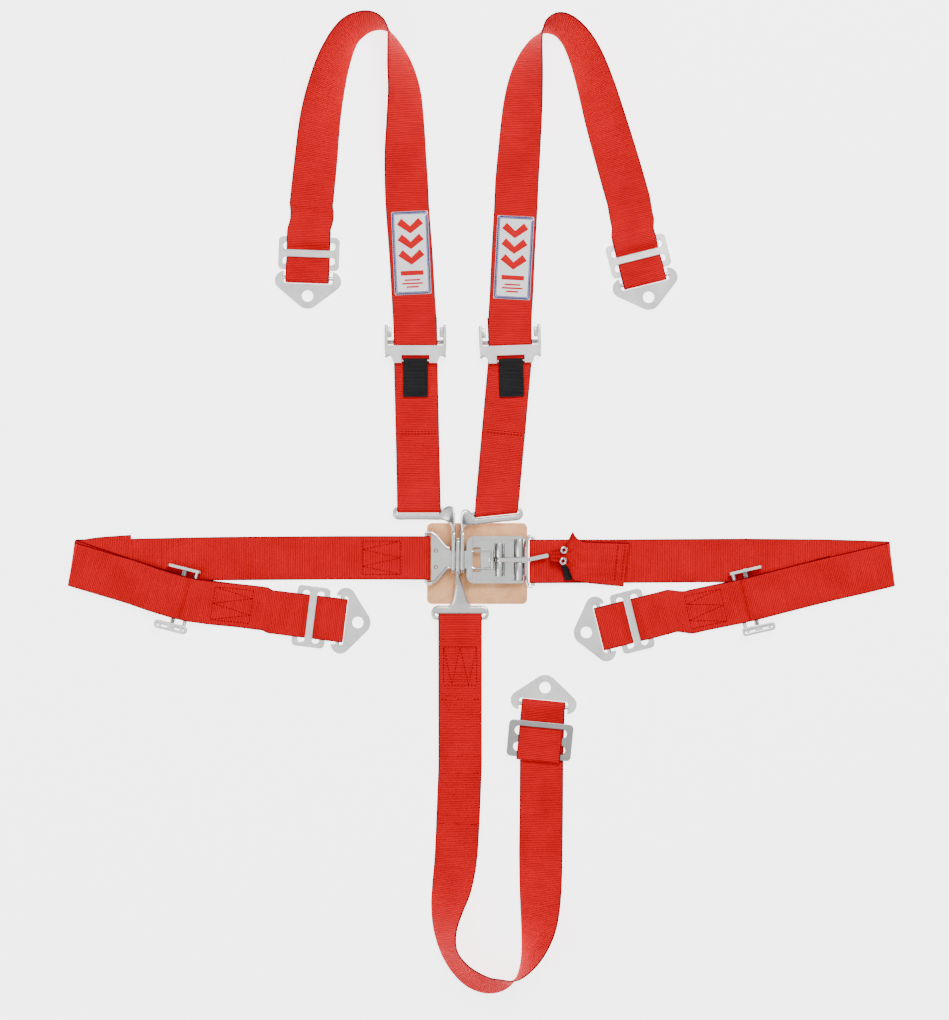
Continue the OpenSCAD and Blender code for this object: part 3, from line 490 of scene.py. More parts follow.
loop_crotch = smooth([stand(-24.5, -300, -90, 0), stand(-27, -362, -91, 4), stand(-29.5, -405, -92, 12),
  stand(-34, -437, -94, 25), stand(-39.5, -462, -92, 44), stand(-41.5, -485, -83, 58), stand(-37, -508, -65, 65),
  stand(-25, -527, -47, 62), stand(-9, -540.5, -30, 58), stand(9, -547, -8, 60), stand(26, -545, 18, 68),
  stand(41, -537, 42, 88), stand(52, -521, 60, 107), stand(60, -501, 72, 126), stand(65.5, -475, 80, 146),
  stand(67.5, -440, 87, 163), stand(68, -395, 90, 176)], 6)


def crotch_end(h, b):
    bar, a, mid, length = ANCHORS["crotch"][:2], *ANCHORS["crotch"][2:5]
    near, far = mid - length / 2 + OUTER_BAR / 2, mid + length / 2 - OUTER_BAR / 2
    lip, r = OUTER_BAR / 2 + 0.4, (OVER_SLIDE - UNDER_SLIDE) / 2
    return (turn(bar, a, 4.2, LOOP_R, h, b, ANCHOR_SLACK)
            + [off(bar, a, near - lip - 1, UNDER_SLIDE, h, b), off(bar, a, near + lip, UNDER_SLIDE, h, b),
               off(bar, a, mid - MID_BAR / 2, OVER_SLIDE, h, b)]
            + [off(bar, a, far + lip + r * cosd(f), UNDER_SLIDE + r * (1 + sind(f)), h, b) for f in (90, 60, 30, 0, -30, -60, -90)]
            + [off(bar, a, far - lip, UNDER_SLIDE, h, b)])


strap_crotch = ([[-24.5, -223, LIE, -90, 0], [-24.5, -166, LIE, -90, 0], [-24.5, -148, 1.4, -90, 0]]
  + turn((-24.5, -129), 270, 6, LOOP_R, -90, 0, TONGUE_SLACK)
  + [[-24.5, -144, 7.6, -90, 0], [-24.5, -164, 3.2, -90, 0], [-24.5, -178, SECOND, -90, 0],
     [-24.5, -225, SECOND, -90, 0], [-24.5, -242, LIE, -90, 0]]
  + loop_crotch + [[68.6, -350, LIE, 89, 180], [68.8, -318, LIE, 88, 180], [69, -290, LIE, 87, 180]]
  + crotch_end(84.5, 180))

STRAPS = {
    "shoulder_strap_left": strap_left, "shoulder_strap_right": strap_right,
    "shoulder_lower_left": lower_strap("shoulder_left", (-71.5, -3.5), -89, -90),
    "shoulder_lower_right": lower_strap("shoulder_right", (17, -6.5), -96, -84),
    "lap_strap_left": lap_left, "lap_strap_right": lap_right,
    "lap_anchor_strap_left": anchor_left, "lap_anchor_strap_right": anchor_right,
    "crotch_strap": strap_crotch}


# ---- ribbons
class Ribbon:
    """Webbing along stations, resampled about every 2.5 mm, with its frame at each sample."""

    def __init__(self, stations, width=50.0, thick=1.4, step=2.5):
        self.width, self.thick = width, thick
        pts = [Vector(s[:3]) for s in stations]
        seg = [(pts[i + 1] - pts[i]).length for i in range(len(pts) - 1)]
        tangents = []
        for i in range(len(pts)):
            if i == 0:
                t = (pts[1] - pts[0]).normalized()
            elif i == len(pts) - 1:
                t = (pts[-1] - pts[-2]).normalized()
            else:
                a, b = (pts[i] - pts[i - 1]) / seg[i - 1], (pts[i + 1] - pts[i]) / seg[i]
                t = (a * seg[i] + b * seg[i - 1]).normalized()
            tangents.append(t)
        longest, ease = 34, 0.96
        reach = [min(seg[max(i - 1, 0)], seg[min(i, len(seg) - 1)], longest) * ease for i in range(len(pts))]
        self.rows = []
        for i, length in enumerate(seg):
            n = max(1, int(round(length / step)))
            for k in range(n + (1 if i == len(seg) - 1 else 0)):
                t = k / n
                h = (2 * t ** 3 - 3 * t * t + 1, t ** 3 - 2 * t * t + t, -2 * t ** 3 + 3 * t * t, t ** 3 - t * t)
                p = (pts[i] * h[0] + tangents[i] * reach[i] * h[1]
                     + pts[i + 1] * h[2] + tangents[i + 1] * reach[i + 1] * h[3])
                f = [stations[i][j] * (1 - t) + stations[i + 1][j] * t for j in (3, 4)]
                p.z = max(p.z, thick / 2 + 0.05 + abs(sind(f[1])) * width / 2 * 0.995)
                self.rows.append([p, f[0], f[1]])
        self.s = [0.0]
        for i in range(1, len(self.rows)):
            self.s.append(self.s[-1] + (self.rows[i][0] - self.rows[i - 1][0]).length)
        self.length = self.s[-1]
        last = len(self.rows) - 1
        for i, row in enumerate(self.rows):
            d = (self.rows[min(i + 1, last)][0] - self.rows[max(i - 1, 0)][0]).normalized()
            h, b = row[1], row[2]
            left = Vector((-sind(h) * cosd(b), cosd(h) * cosd(b), sind(b)))
            row += [left, d.cross(left).normalized()]

    def at(self, s, u, lift=0.0):
        """A point at arc length s, u mm towards the left edge, lift mm out of the upward face."""
        s = min(max(s, 0.0), self.length)
        lo, hi = 0, len(self.s) - 1
        while hi - lo > 1:
            m = (lo + hi) // 2
            if self.s[m] <= s:
                lo = m
            else:
                hi = m
        t = (s - self.s[lo]) / max(self.s[hi] - self.s[lo], 1e-9)
        a, b = self.rows[lo], self.rows[hi]
        p, left, n = (a[j].lerp(b[j], t) for j in (0, 3, 4))
        if n.z < 0:
            n = -n
        return p + left * u + n * (self.thick / 2 + lift), n.normalized()

    def find(self, x, y, low=-1.0):
        """Arc length of the highest layer over (x, y)."""
        best, found = 1e9, 0.0
        for s, row in zip(self.s, self.rows):
            if row[0].z >= low:
                gap = math.hypot(row[0].x - x, row[0].y - y) - 0.6 * row[0].z
                if gap < best:
                    best, found = gap, s
        return found

    def build(self, name):
        w, t = self.width / 2, self.thick / 2
        flat = w - 0.7
        top = [(flat - 2 * flat * i / 14, t) for i in range(15)]
        edge = [(-flat - 0.7 * sind(a), t * cosd(a)) for a in (45, 90, 135)]
        profile = top + edge + [(-x, -y) for x, y in top] + [(-x, -y) for x, y in edge]
        m = len(profile)
        verts, uvs, faces = [], [], []
        for i, (p, h, b, left, n) in enumerate(self.rows):
            for x, y in profile:
                swell = 0.10 * noise.noise(Vector((self.s[i] * 0.045, x * 0.08, 3.1 if y > 0 else 9.7)))
                verts.append(p + left * x + n * (y + (swell if abs(x) < flat else 0)))
                uvs.append(((x + w) / 50, self.s[i] / 50))
            if i:
                for j in range(m):
                    a, c = (i - 1) * m + j, (i - 1) * m + (j + 1) % m
                    faces.append((a, c, c + m, a + m))
        count = len(self.rows)
        for base, flip in ((0, False), ((count - 1) * m, True)):
            ring = [base + j for j in range(m)]
            faces.append(tuple(ring if flip else reversed(ring)))
        ob = add_mesh(name, verts, faces, uvs)
        fix_normals(ob)
        sharp_by_angle(ob, 60)
        return ob


RIBBONS = {}


def build_straps(mat):
    for node, stations in STRAPS.items():
        r = Ribbon(stations)
        RIBBONS[node] = r
        ob = finish_piece(r.build(node + "_webbing"), mat, "harness", "webbing", node)


# ---- stitching
def stitch_mesh(name, runs, mat, body, slot, radius=0.33, long=2.7, gap=1.1):
    """runs: lists of (point, normal) along each seam, already on the surface. Each stitch is one small closed thread."""
    verts, faces = [], []
    for run in runs:
        s = [0.0]
        for i in range(1, len(run)):
            s.append(s[-1] + (run[i][0] - run[i - 1][0]).length)
        total = s[-1]

        def spot(q):
            for i in range(1, len(s)):
                if q <= s[i] or i == len(s) - 1:
                    t = (q - s[i - 1]) / max(s[i] - s[i - 1], 1e-9)
                    return run[i - 1][0].lerp(run[i][0], t), run[i - 1][1].lerp(run[i][1], t).normalized()

        q = 0.3
        while q + long < total + 0.5:
            (a, na), (b, nb) = spot(q), spot(min(q + long, total))
            d = b - a
            if d.length > 0.5:
                side = d.cross(na).normalized()
                rings = ((0.0, 0.35, -0.25), (0.14, 0.9, 0.02), (0.5, 1.0, 0.16), (0.86, 0.9, 0.02),
                         (1.0, 0.35, -0.25))
                base = len(verts)
                for t, k, rise in rings:
                    c = a.lerp(b, t) + na * rise
                    for j in range(6):
                        verts.append(c + (side * cosd(60 * j) + na * sind(60 * j)) * radius * k)
                for i in range(4):
                    for j in range(6):
                        p, r = base + 6 * i + j, base + 6 * i + (j + 1) % 6
                        faces.append((p, r, r + 6, p + 6))
                faces.append(tuple(base + j for j in range(5, -1, -1)))
                faces.append(tuple(base + 24 + j for j in range(6)))
            q += long + gap
    ob = add_mesh(name, verts, faces)
    fix_normals(ob)
    return finish_piece(ob, mat, body, slot)


def seam(r, corners, step=4.0):
    """A seam through (s, u) corners on ribbon r."""
    run = []
    for (s0, u0), (s1, u1) in zip(corners, corners[1:]):
        n = max(1, int(math.hypot(s1 - s0, u1 - u0) / step))
        run += [r.at(s0 + (s1 - s0) * k / n, u0 + (u1 - u0) * k / n, 0.1) for k in range(n)]
    return run + [r.at(*corners[-1], 0.1)]


def w_pattern(r, s0, s1, half=19.0):
    """Box with a zigzag in it, as load seams are sewn."""
    zig = [(s0 if i % 2 == 0 else s1, half - 2 * half * i / 4) for i in range(5)]
    return [seam(r, zig), seam(r, [(s0, half), (s0, -half)]), seam(r, [(s1, half), (s1, -half)]),
            seam(r, [(s0, half), (s1, half)]), seam(r, [(s0, -half), (s1, -half)])]


# Box seams: strap, one end and the other in plan, and the lowest layer that counts
BOX_SEAMS = (("lap_strap_left", (-136, -60), (-92, -60), 1.5), ("lap_anchor_strap_left", (-307, -113), (-264, -118), 2),
             ("lap_strap_right", (102, -64), (124, -64), 1.5), ("lap_anchor_strap_right", (236, -120), (277, -112), 2))


def box_seam(r, start, end, low):
    return w_pattern(r, *sorted((r.find(*start, low), r.find(*end, low))))


def sew(mat):
    for node, start, end, low in BOX_SEAMS:
        stitch_mesh(node + "_stitches", box_seam(RIBBONS[node], start, end, low), mat, "harness", "webbing")
    for side, x in (("left", -73.7), ("right", 25)):
        r = RIBBONS["shoulder_lower_" + side]
        s = r.find(x, 82, 2)
        rows = [seam(r, [(s + d, 22), (s + d, -22)]) for d in (-1.5, 1.5)]
        stitch_mesh("shoulder_lower_%s_stitches" % side, rows, mat, "harness", "webbing")
    r = RIBBONS["crotch_strap"]
    rows = box_seam(r, (-24.5, -162), (-24.5, -205), 2)
    for y in (-223, -286, -307, -365):
        s = r.find(-25, y, 0)
        rows += [seam(r, [(s, u), (s, u - 7)]) for u in (22, 3.5, -15)]
    stitch_mesh("crotch_strap_stitches", rows, mat, "harness", "webbing")


# ---- fittings carried over from the CAD
def dress(node, mat, bevel):
    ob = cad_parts[node]
    if not ob.material_slots:
        ob.data.materials.append(mat)
    for item in ob.material_slots:
        item.material = mat
    weld = ob.modifiers.new("weld", "WELD")
    weld.merge_threshold = 1e-6
    b = ob.modifiers.new("bevel", "BEVEL")
    b.width = bevel * MM
    b.segments = 2
    b.limit_method = "ANGLE"
    b.angle_limit = rad(32)
    b.use_clamp_overlap = True
    b.harden_normals = False


# ---- swept and lofted shapes
class Shell:
    """Closed skins gathered into one mesh, in mm."""

    def __init__(self):
        self.verts, self.faces = [], []

    def skin(self, rings, closed=False):
        base, m, n = len(self.verts), len(rings[0]), len(rings)
        for ring in rings:
            self.verts += ring
        for i in range(n if closed else n - 1):
            a, b = base + i * m, base + ((i + 1) % n) * m
            for j in range(m):
                k = (j + 1) % m
                self.faces.append((a + j, a + k, b + k, b + j))
        if not closed:
            self.faces.append(tuple(base + j for j in range(m - 1, -1, -1)))
            self.faces.append(tuple(base + (n - 1) * m + j for j in range(m)))
        return self

    def sweep(self, points, sizes, closed=False, sides=16, power=2.0):
        """sizes: (half width in plan, half height) at each point."""
        rings, n = [], len(points)
        for i, (p, (a, b)) in enumerate(zip(points, sizes)):
            before = points[(i - 1) % n] if closed else points[max(i - 1, 0)]
            after = points[(i + 1) % n] if closed else points[min(i + 1, n - 1)]
            d = (Vector(after) - Vector(before)).normalized()
            side = Vector((0, 0, 1)).cross(d).normalized()
            rings.append(oval(Vector(p), side * a, d.cross(side) * b, sides, power))
        return self.skin(rings, closed)

    def build(self, name, mat, body, slot, *replaced):
        ob = add_mesh(name, self.verts, self.faces)
        fix_normals(ob)
        sharp_by_angle(ob)
        return finish_piece(ob, mat, body, slot, *replaced)


def oval(c, u, v, n=16, power=2.0):
    out = []
    for k in range(n):
        x, y = cosd(360 * k / n), sind(360 * k / n)
        out.append(c + u * math.copysign(abs(x) ** (2 / power), x) + v * math.copysign(abs(y) ** (2 / power), y))
    return out


def through(points, n=6, closed=False):
    """A smooth curve through points, n steps from each to the next."""
    out, m = [], len(points)
    for i in range(m if closed else m - 1):
        if closed:
            a, b, c, d = (points[(i + k) % m] for k in (-1, 0, 1, 2))
        else:
            a, b, c, d = points[max(i - 1, 0)], points[i], points[i + 1], points[min(i + 2, m - 1)]
        out += [catmull(a, b, c, d, k / n) for k in range(n)]
    return out if closed else out + [list(points[-1])]


def rounded(x, y, r, n=7):
    """Outline of a rounded rectangle about the origin."""
    out = []
    for sx, sy, start in ((1, 1, 0), (-1, 1, 90), (-1, -1, 180), (1, -1, 270)):
        for k in range(n):
            a = start + 90 * k / (n - 1)
            out.append((sx * (x / 2 - r) + r * cosd(a), sy * (y / 2 - r) + r * sind(a)))
    return out


# ---- tongues
def d_frame(shell, centre, z, tilt, half, front_y, front_half, flip=1):
    """The looped bar that a strap hangs on: its webbing bar at the origin, its wide bar towards the buckle."""
    side = half - 2.1
    path = [(-side + 6, 0), (0, 0), (side - 6, 0), (side - 1.6, -0.7), (side, -3.2), (side, front_y * 0.55),
            (side - 0.6, front_y * 0.8), (side - 4.5, front_y), (side * 0.45, front_y), (0, front_y),
            (-side * 0.45, front_y), (4.5 - side, front_y), (0.6 - side, front_y * 0.8), (-side, front_y * 0.55),
            (-side, -3.2), (1.6 - side, -0.7)]
    width = [2.2] * 4 + [2.1, 2.3, 2.8] + [front_half] * 5 + [2.8, 2.3, 2.1, 2.2]
    rows = through([(*p, w) for p, w in zip(path, width)], 6, True)
    points, sizes = [], []
    for x, y, w in rows:
        y *= flip
        points.append((centre[0] + x * cosd(tilt) - y * sind(tilt), centre[1] + x * sind(tilt) + y * cosd(tilt), z))
        sizes.append((w, 2.1))
    shell.sweep(points, sizes, True, 20, 2.6)


def neck(shell, rows):
    """rows: one end and the other of each section in plan, its height and half thickness."""
    rings = []
    for ux, uy, lx, ly, z, h in through(rows, 6):
        c = Vector(((ux + lx) / 2, (uy + ly) / 2, z))
        rings.append(oval(c, Vector((ux - lx, uy - ly, 0)) / 2, Vector((0, 0, h)), 24, 3.0))
    shell.skin(rings)


def upright_ring(shell, x, low, high):
    """Plate on edge across the latch, with the hole that the link passes through."""
    thick, height = 4.5, 16
    outer = (high - low, height, 5.5, (low + high) / 2, 12)
    hole = (26, 8.7, 2, -62, 12.15)
    crown = ((0.0, 0.9), (0.35, 0.25), (0.9, 0.0), (thick - 0.9, 0.0), (thick - 0.35, 0.25), (thick, 0.9))

    def ring(shape, dx, inset):
        """One outline at dx through the plate, drawn in by inset at each side."""
        wide, tall, r, cy, cz = shape
        return [Vector((x + dx, cy + a * (1 - 2 * inset / wide), cz + b * (1 - 2 * inset / tall)))
                for a, b in rounded(wide, tall, r)]
    shell.skin([ring(outer, dx, inset) for dx, inset in crown]
               + [ring(hole, dx, -inset) for dx, inset in reversed(crown)], True)


def build_tongues(mat):
    ring_x = {"left": -34.3, "crotch": -29.2, "right": -24.1}
    left = Shell()
    d_frame(left, (-71.5, -3.5), 9, 0, 30, -9.2, 3.7)
    shape = [(-49, -9.4, -49, -16.4, 9, 2.0), (-44, -4.2, -45, -16.6, 9.2, 2.1), (-38.5, -0.6, -40.8, -17.8, 9.8, 2.4),
             (-33.2, -1.4, -37.4, -20.2, 10.6, 3.0), (-30.4, -7.5, -35.4, -23.6, 11.3, 4.2), (-29.8, -17, -34.4, -27, 11.8, 5.6),
             (-29.8, -28.5, -34.3, -30.5, 12, 6.8)]
    neck(left, shape)
    upright_ring(left, ring_x["left"], -77.5, -28)
    left.build("tongue_left_forged", mat, "harness", "tongue_steel", "tongue_left")
    right = Shell()
    d_frame(right, (17, -6.5), 9, 6, 30, -9.2, 3.7)
    drop = (6.4, 5.6, 4.4, 3.2, 2.0, 1.0, 0.0)
    neck(right, [(-53.9 - a, b - k, -53.9 - c, d - k, z, h) for (a, b, c, d, z, h), k in zip(shape, drop)])
    upright_ring(right, ring_x["right"], -77.5, -28)
    right.build("tongue_right_forged", mat, "harness", "tongue_steel", "tongue_right")
    low = Shell()
    d_frame(low, (-24.5, -129), 6, 0, 33, -9.4, 4.9, -1)
    neck(low, [(-44, -119, -5, -119, 6, 2.1), (-37.5, -114.2, -11.5, -114.2, 6.3, 2.1), (-33.6, -109.5, -15.6, -109.5, 7.2, 2.2),
               (-31.4, -100, -18.4, -100, 9, 2.8), (-30.1, -90, -21.6, -90, 10.6, 4.0), (-29.4, -82, -24.4, -82, 11.8, 5.6),
               (-29.2, -77.5, -24.7, -77.5, 12, 6.8)])
    upright_ring(low, ring_x["crotch"], -79.5, -37)
    low.build("tongue_crotch_forged", mat, "harness", "tongue_steel", "tongue_crotch")


# ---- soft pieces of the buckle
# Gathered end of the pull tab: upper edge, lower edge, height of the middle, height of the folds
TAB = [(79, -51.5, 79, -63.5, 16.2, 0.5), (86, -50.5, 85.5, -64.5, 14.8, 0.9), (92, -48.5, 92, -66.5, 12.9, 1.4),
       (97, -43, 98.5, -70.5, 11.4, 1.7), (101, -35.5, 102.5, -80, 10.2, 1.5), (104.2, -30.5, 105.5, -86, 9.2, 1.2),
       (108, -36, 109.5, -87.4, 8.3, 0.9), (115, -40.5, 115, -88.2, 7.2, 0.6), (128, -41.6, 127, -89.6, 6.2, 0.4),
       (148, -42.4, 144, -91.4, 5.4, 0.3), (168.7, -43, 162.6, -93, 5.0, 0.2)]


def build_pull_tab(mat, thread):
    rows = through(TAB, 8)
    across, half = 56, 0.75
    grid = []
    run = 0.0
    for i, (lx, ly, rx, ry, z, fold) in enumerate(rows):
        if i:
            p = rows[i - 1]
            run += math.hypot((lx + rx - p[0] - p[2]) / 2, z - p[4])
        line = []
        for j in range(across + 1):
            u = j / across
            x, y = lx + (rx - lx) * u, ly + (ry - ly) * u
            broad, tight = math.sin(2 * math.pi * (u * 3.2 + 0.15)), math.sin(2 * math.pi * (u * 6.3 + run * 0.01))
            wave = fold * (broad + 0.45 * tight)
            wave += 0.5 * noise.noise(Vector((x * 0.06, y * 0.07, 2.5)))
            peak = 3.6 * math.exp(-((x - 104) / 5) ** 2 - ((y + 32) / 5) ** 2)
            line.append((x, y, max(z + wave + peak, 4.35), u, run))
        grid.append(line)
    shell, uvs = Shell(), []
    n, m = len(grid), across + 1
    for side in (1, -1):
        for line in grid:
            for x, y, z, u, r in line:
                shell.verts.append(Vector((x, y, z + side * half)))
                uvs.append((u, r / 50))
    for side, base in ((1, 0), (-1, n * m)):
        for i in range(n - 1):
            for j in range(m - 1):
                q = (base + i * m + j, base + (i + 1) * m + j, base + (i + 1) * m + j + 1, base + i * m + j + 1)
                shell.faces.append(q if side > 0 else q[::-1])
    border = [(i, 0) for i in range(n)] + [(n - 1, j) for j in range(1, m)] + [(i, m - 1) for i in range(n - 2, -1, -1)]
    border += [(0, j) for j in range(m - 2, 0, -1)]
    for (i, j), (k, l) in zip(border, border[1:] + border[:1]):
        a, b = i * m + j, k * m + l
        shell.faces.append((b, a, a + n * m, b + n * m))
    ob = add_mesh("pull_tab_gathered", shell.verts, shell.faces, uvs)
    fix_normals(ob)
    sharp_by_angle(ob, 65)
    finish_piece(ob, mat, "lever", "tab_webbing", "pull_tab")

    def on_top(x, y, reach=4.2):
        """Height of the highest fold within reach, carried along the slope of the tab to (x, y)."""
        near = [p[2] + 0.33 * (p[0] - x) for line in grid for p in line if math.hypot(p[0] - x, p[1] - y) < reach]
        return max(near) + half
    hem = []
    for u in (0.97, 0.9):
        run = [Vector(grid[-1 - int(round((1 - u) * 50))][j][:3]) + Vector((0, 0, half + 0.12)) for j in range(3, m - 3, 3)]
        hem.append([(p, Vector((0, 0, 1))) for p in run])
    stitch_mesh("pull_tab_hem_stitches", hem, thread, "lever", "tab_webbing")
    return on_top


def build_eyelets(mat, on_top):
    shell = Shell()
    for x, y in ((94.2, -51.2), (93.2, -63.6)):
        z = on_top(x, y) + 0.35
        axis = Vector((0.30, 0.0, 0.95)).normalized()
        u = axis.cross(Vector((0, 1, 0))).normalized()
        v = axis.cross(u)
        rings = []
        for k in range(36):
            d = u * cosd(10 * k) + v * sind(10 * k)
            c = Vector((x, y, z)) + d * 3.1
            rings.append(oval(c, d * 1.3, axis * 1.0, 12, 2.2))
        shell.skin(rings, True)
    shell.build("pull_tab_eyelets_rolled", mat, "lever", "eyelet_nickel", "pull_tab_eyelet")


def build_keeper(mat):
    r = Ribbon([[93.6, -64.8, 11.2, 275, 0], [95.4, -68.5, 9.8, 278, 0], [97.2, -75, 7.6, 280, 6], [98.6, -81, 6.4, 278, 4],
                [99.4, -85.5, 6.0, 276, 0]], 8.5, 1.2)
    ob = finish_piece(r.build("pull_tab_keeper_strip"), mat, "lever", "black_webbing", "pull_tab_keeper")


def build_release_tabs(mat, thread):
    for side in ("left", "right"):
        x0, y0, z0, d = ADJUSTERS["shoulder_" + side]
        bar = (x0 + 14.5 * cosd(d), y0 + 14.5 * sind(d))
        z = z0 + 6.5
        low = [(41, -6.6), (32, -6.1), (22, -5.45), (13, -4.3), (8, -3.3)]
        loop = [(2.15 * cosd(f), 2.15 * sind(f)) for f in range(270, 60, -20)]
        high = [(4, -0.4), (8, -2.2), (13, -3.3), (22, -4.5), (32, -5.15), (41, -5.65)]
        r = Ribbon([off(bar, d, a, z + b, d) for a, b in low + loop + high], 27.5, 0.85, 1.6)
        ob = finish_piece(r.build("release_tab_%s_webbing" % side), mat, "release_tab_" + side, "black_webbing",
                          "release_tab_" + side)
        end = r.length
        rows = [seam(r, [(end - a, 11.5), (end - a, -11.5)]) for a in (4, 30)]
        rows += [seam(r, [(end - 4, u), (end - 30, u)]) for u in (11.5, -11.5)]
        stitch_mesh("release_tab_%s_stitches" % side, rows, thread, "release_tab_" + side, "black_webbing", 0.25, 2.2, 0.9)


def build_pad(mat):
    outline = rounded(115, 93, 6, 10)
    cx, cy, rings = -5.0, -66.5, 26
    verts, faces = [], []

    def height(x, y):
        free = max(abs(y + 66.5) - 30, 0) / 16.5 + max(-x - 48, 0) / 15
        ripple = 0.35 * noise.noise(Vector((x * 0.05, y * 0.05, 1.3)))
        lift = 0.5 + noise.noise(Vector((x * 0.022, y * 0.03, 7.7)))
        return ripple + 1.3 * min(free, 1) * lift
    n = len(outline)
    for side in (1, -1):
        for k in range(1, rings + 1):
            s = k / rings
            for ox, oy in outline:
                inset = 0.0 if k < rings else 0.6
                x, y = cx + ox * s * (1 - inset / 50), cy + oy * s * (1 - inset / 50)
                z = 1.55 + max(height(x, y), -0.2) + side * (1.15 if k < rings else 0.8)
                verts.append((x, y, max(z, 0.06)))
        verts.append((cx, cy, 1.55 + side * 1.15))
    half = rings * n + 1
    for side, base in ((1, 0), (-1, half)):
        for k in range(rings - 1):
            for j in range(n):
                a, b = base + k * n + j, base + k * n + (j + 1) % n
                q = (a, a + n, b + n, b)
                faces.append(q if side > 0 else q[::-1])
        for j in range(n):
            t = (base + half - 1, base + j, base + (j + 1) % n)
            faces.append(t if side > 0 else t[::-1])
    rim = (rings - 1) * n
    edge = len(verts)
    for ox, oy in outline:
        x, y = cx + ox, cy + oy
        verts.append((x, y, max(1.55 + max(height(x, y), -0.2), 0.5)))
    for j in range(n):
        k = (j + 1) % n
        faces.append((rim + j, edge + j, edge + k, rim + k))
        faces.append((edge + j, half + rim + j, half + rim + k, edge + k))
    ob = add_mesh("latch_pad_leather", verts, faces)
    fix_normals(ob)
    finish_piece(ob, mat, "harness", "pad_leather", "latch_pad")


def build_flanges(mat):
    """Shoulder adjusters: cheeks folded in towards the strap and rolled along their tops. Lap adjusters: slotted rims."""
    for side in ("left", "right"):
        x0, y0, z0, d = ADJUSTERS["shoulder_" + side]
        shell = Shell()
        for k in (-1, 1):
            def at(a, b, z):
                return (x0 + a * cosd(d) - k * b * sind(d), y0 + a * sind(d) + k * b * cosd(d), z0 + z)
            rings = []
            for a, grow in ((-24.5, 0.5), (-23.9, 1.0), (-13.1, 1.0), (-12.5, 0.5)):
                c = Vector(at(a, 30.2, -3.0))
                u = Vector(at(a, 30.2 + 2.9 * grow, -3.0)) - c
                rings.append(oval(c, u, Vector((0, 0, 0.8 * grow)), 16, 4.0))
            shell.skin(rings)
            rise = ((-26.2, 3.6), (-25.4, 5.0), (-22, 5.35), (-12, 5.4), (-3, 5.4), (2, 5.4))
            line = through([at(a, 33.5, z) for a, z in rise], 5)
            shell.sweep(line, [(1.95, 0.9)] * len(line), False, 14, 2.6)
        shell.build("adjuster_frame_shoulder_%s_rims" % side, mat, "harness", "zinc_steel")
    for side, k in (("left", -1), ("right", 1)):
        x0, y0, z0, d = ADJUSTERS["lap_" + side]

        def spot(a, b):
            b *= k
            return (x0 + a * cosd(d) - b * sind(d), y0 + a * sind(d) + b * cosd(d), z0 + 6.0)
        shell = Shell()
        rim = [spot(a - 7, b + 35) for a, b in rounded(35.5, 6.4, 2.4, 5)]
        shell.sweep(rim, [(1.7, 0.9)] * len(rim), True, 14, 3.0)
        for a, half in ((-7, 4.5), (-19.5, 1.6), (5.5, 1.6)):
            shell.sweep([spot(a, 33), spot(a, 35), spot(a, 37)], [(half, 0.75)] * 3, False, 14, 4.0)
        shell.build("adjuster_frame_lap_%s_rim" % side, mat, "harness", "zinc_steel")


# ---- label patches
def build_labels(mat, border, motif):
    for side, cx, cy, angle in (("left", -80.5, 289.5, 2.6), ("right", 37.0, 284.0, -3.0)):
        def put(x, y, z):
            return Vector((cx + x * cosd(angle) - y * sind(angle), cy + x * sind(angle) + y * cosd(angle), z))
        outline = rounded(42.0, 95.4, 1.6, 5)
        n = len(outline)
        verts, uvs, faces = [], [], []
        for s, z in ((1.0, 1.56), (1.0, 2.0), (0.985, 2.2), (0.9, 2.26), (0.5, 2.3)):
            for x, y in outline:
                verts.append(put(x * s, y * s, z))
                uvs.append(((x * s + 22) / 50, (y * s + 48) / 50))
        for k in range(4):
            for j in range(n):
                a, b = k * n + j, k * n + (j + 1) % n
                faces.append((a, b, b + n, a + n))
        faces.append(tuple(range(n - 1, -1, -1)))
        faces.append(tuple(4 * n + j for j in range(n)))
        ob = add_mesh("label_patch_%s_woven" % side, verts, faces, uvs)
        fix_normals(ob)
        finish_piece(ob, mat, "harness", "label", "label_patch_" + side)
        up = Vector((0, 0, 1))
        lines = []
        for w, h in ((40.4, 93.8), (38.7, 92.1), (36.4, 89.8)):
            loop = rounded(w, h, 1.4, 4)
            lines.append([(put(x, y, 2.36), up) for x, y in loop + loop[:1]])
        stitch_mesh("label_patch_%s_border" % side, lines, border, "harness", "label", 0.5, 2.2, 0.12)
        shell = Shell()

        def bar(points, half):
            ring = []
            for lift, grow in ((2.2, 0.0), (2.5, 0.0), (2.62, -0.25)):
                left, right = [], []
                for i, (x, y) in enumerate(points):
                    a, b = points[max(i - 1, 0)], points[min(i + 1, len(points) - 1)]
                    dx, dy = b[0] - a[0], b[1] - a[1]
                    size = math.hypot(dx, dy)
                    nx, ny = -dy / size * (half + grow), dx / size * (half + grow)
                    left.append(put(x + nx, y + ny, lift))
                    right.append(put(x - nx, y - ny, lift))
                ring.append(left + right[::-1])
            shell.skin(ring)
        for y in (30, 12, -6):
            bar([(-12.5, y + 6.5), (0, y - 3.5), (12.5, y + 6.5)], 4.3)
        bar([(-13, -23), (13, -23)], 2.6)
        for y, w in ((-31, 9), (-35, 12), (-39, 7)):
            bar([(-w, y), (w, y)], 0.9)
        shell.build("label_patch_%s_bars" % side, motif, "harness", "label")


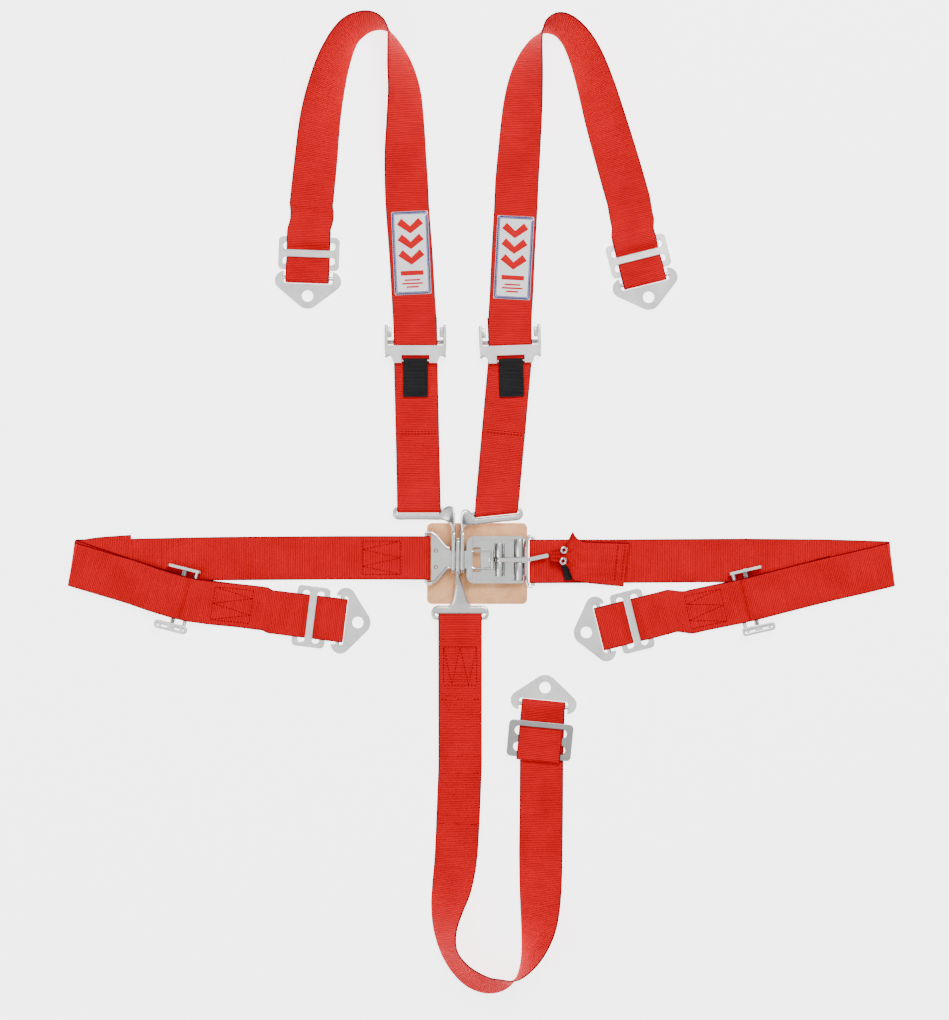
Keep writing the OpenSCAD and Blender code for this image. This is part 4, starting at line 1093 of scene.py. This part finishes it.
add_camera()
add_world()
floor_mat = floor_material()
floor_half = 6000
floor = add_mesh("floor", [(x * floor_half, y * floor_half, 0) for x, y in ((-1, -1), (1, -1), (1, 1), (-1, 1))],
                 [(0, 1, 2, 3)], smooth=False)
floor.location.z = -0.0002
floor.data.materials.append(floor_mat)
add_area("key", (0.7, 1.5, 2.4), (0, 0, 0), 1.1, 62)
add_area("fill", (-1.6, -0.8, 2.2), (0, 0, 0), 1.6, 24)

red = webbing_material("red_webbing", (0.84, 0.0014, 0.010), (0.30, 0.0006, 0.004), (0.11, 0.001, 0.005))
black = webbing_material("black_webbing_fine", (0.030, 0.030, 0.032), (0.006, 0.006, 0.007), (0.008, 0.008, 0.008), 1.6, 27.5)
red_thread = thread_material("red_thread", (0.10, 0.0006, 0.002), (0.26, 0.001, 0.004))
blue_thread = thread_material("blue_thread", (0.008, 0.010, 0.16), (0.02, 0.03, 0.34))
motif_thread = thread_material("motif_thread", (0.50, 0.002, 0.006), (0.72, 0.005, 0.012))
black_thread = thread_material("black_thread", (0.004, 0.004, 0.004), (0.02, 0.02, 0.02))
zinc = metal_material("zinc_satin", 0.60, 0.82, 0.30, 0.3, 0.3)
dark_zinc = metal_material("zinc_dark", 0.24, 0.36, 0.42)
steel = metal_material("steel_satin", 0.52, 0.68, 0.24, 0.2, 0.15)
bright = metal_material("steel_bright", 0.58, 0.76, 0.13, 0.1, 0.08)
latch_metal = metal_material("latch_plated", 0.52, 0.70, 0.17, 0.14, 0.12)
spring_metal = metal_material("spring_grey", 0.20, 0.30, 0.40)
knurled = knurl_material()
leather = leather_material()

build_straps(red)
sew(red_thread)

for key in ANCHORS:
    dress("anchor_plate_" + key, zinc, 0.75)
    dress("slide_" + key, dark_zinc if key == "crotch" else zinc, 0.7)
for key in ADJUSTERS:
    dress("adjuster_frame_" + key, zinc, 0.35)
    dress("adjuster_bar_" + key, knurled, 0.2)
dress("link_plate", steel, 0.7)
for node in ("link_tongue", "lever", "lever_pin", "link_rivets"):
    dress(node, bright, 0.25)
for node in ("latch_body", "latch_cross_tube"):
    dress(node, latch_metal, 0.7)
dress("latch_end_plate", latch_metal, 0.3)
dress("lever_spring", spring_metal, 0.1)
build_tongues(steel)
build_pad(leather)
tab_top = build_pull_tab(red, red_thread)
build_eyelets(bright, tab_top)
build_keeper(black)
build_flanges(zinc)
build_release_tabs(black, black_thread)
build_labels(label_material(), blue_thread, motif_thread)
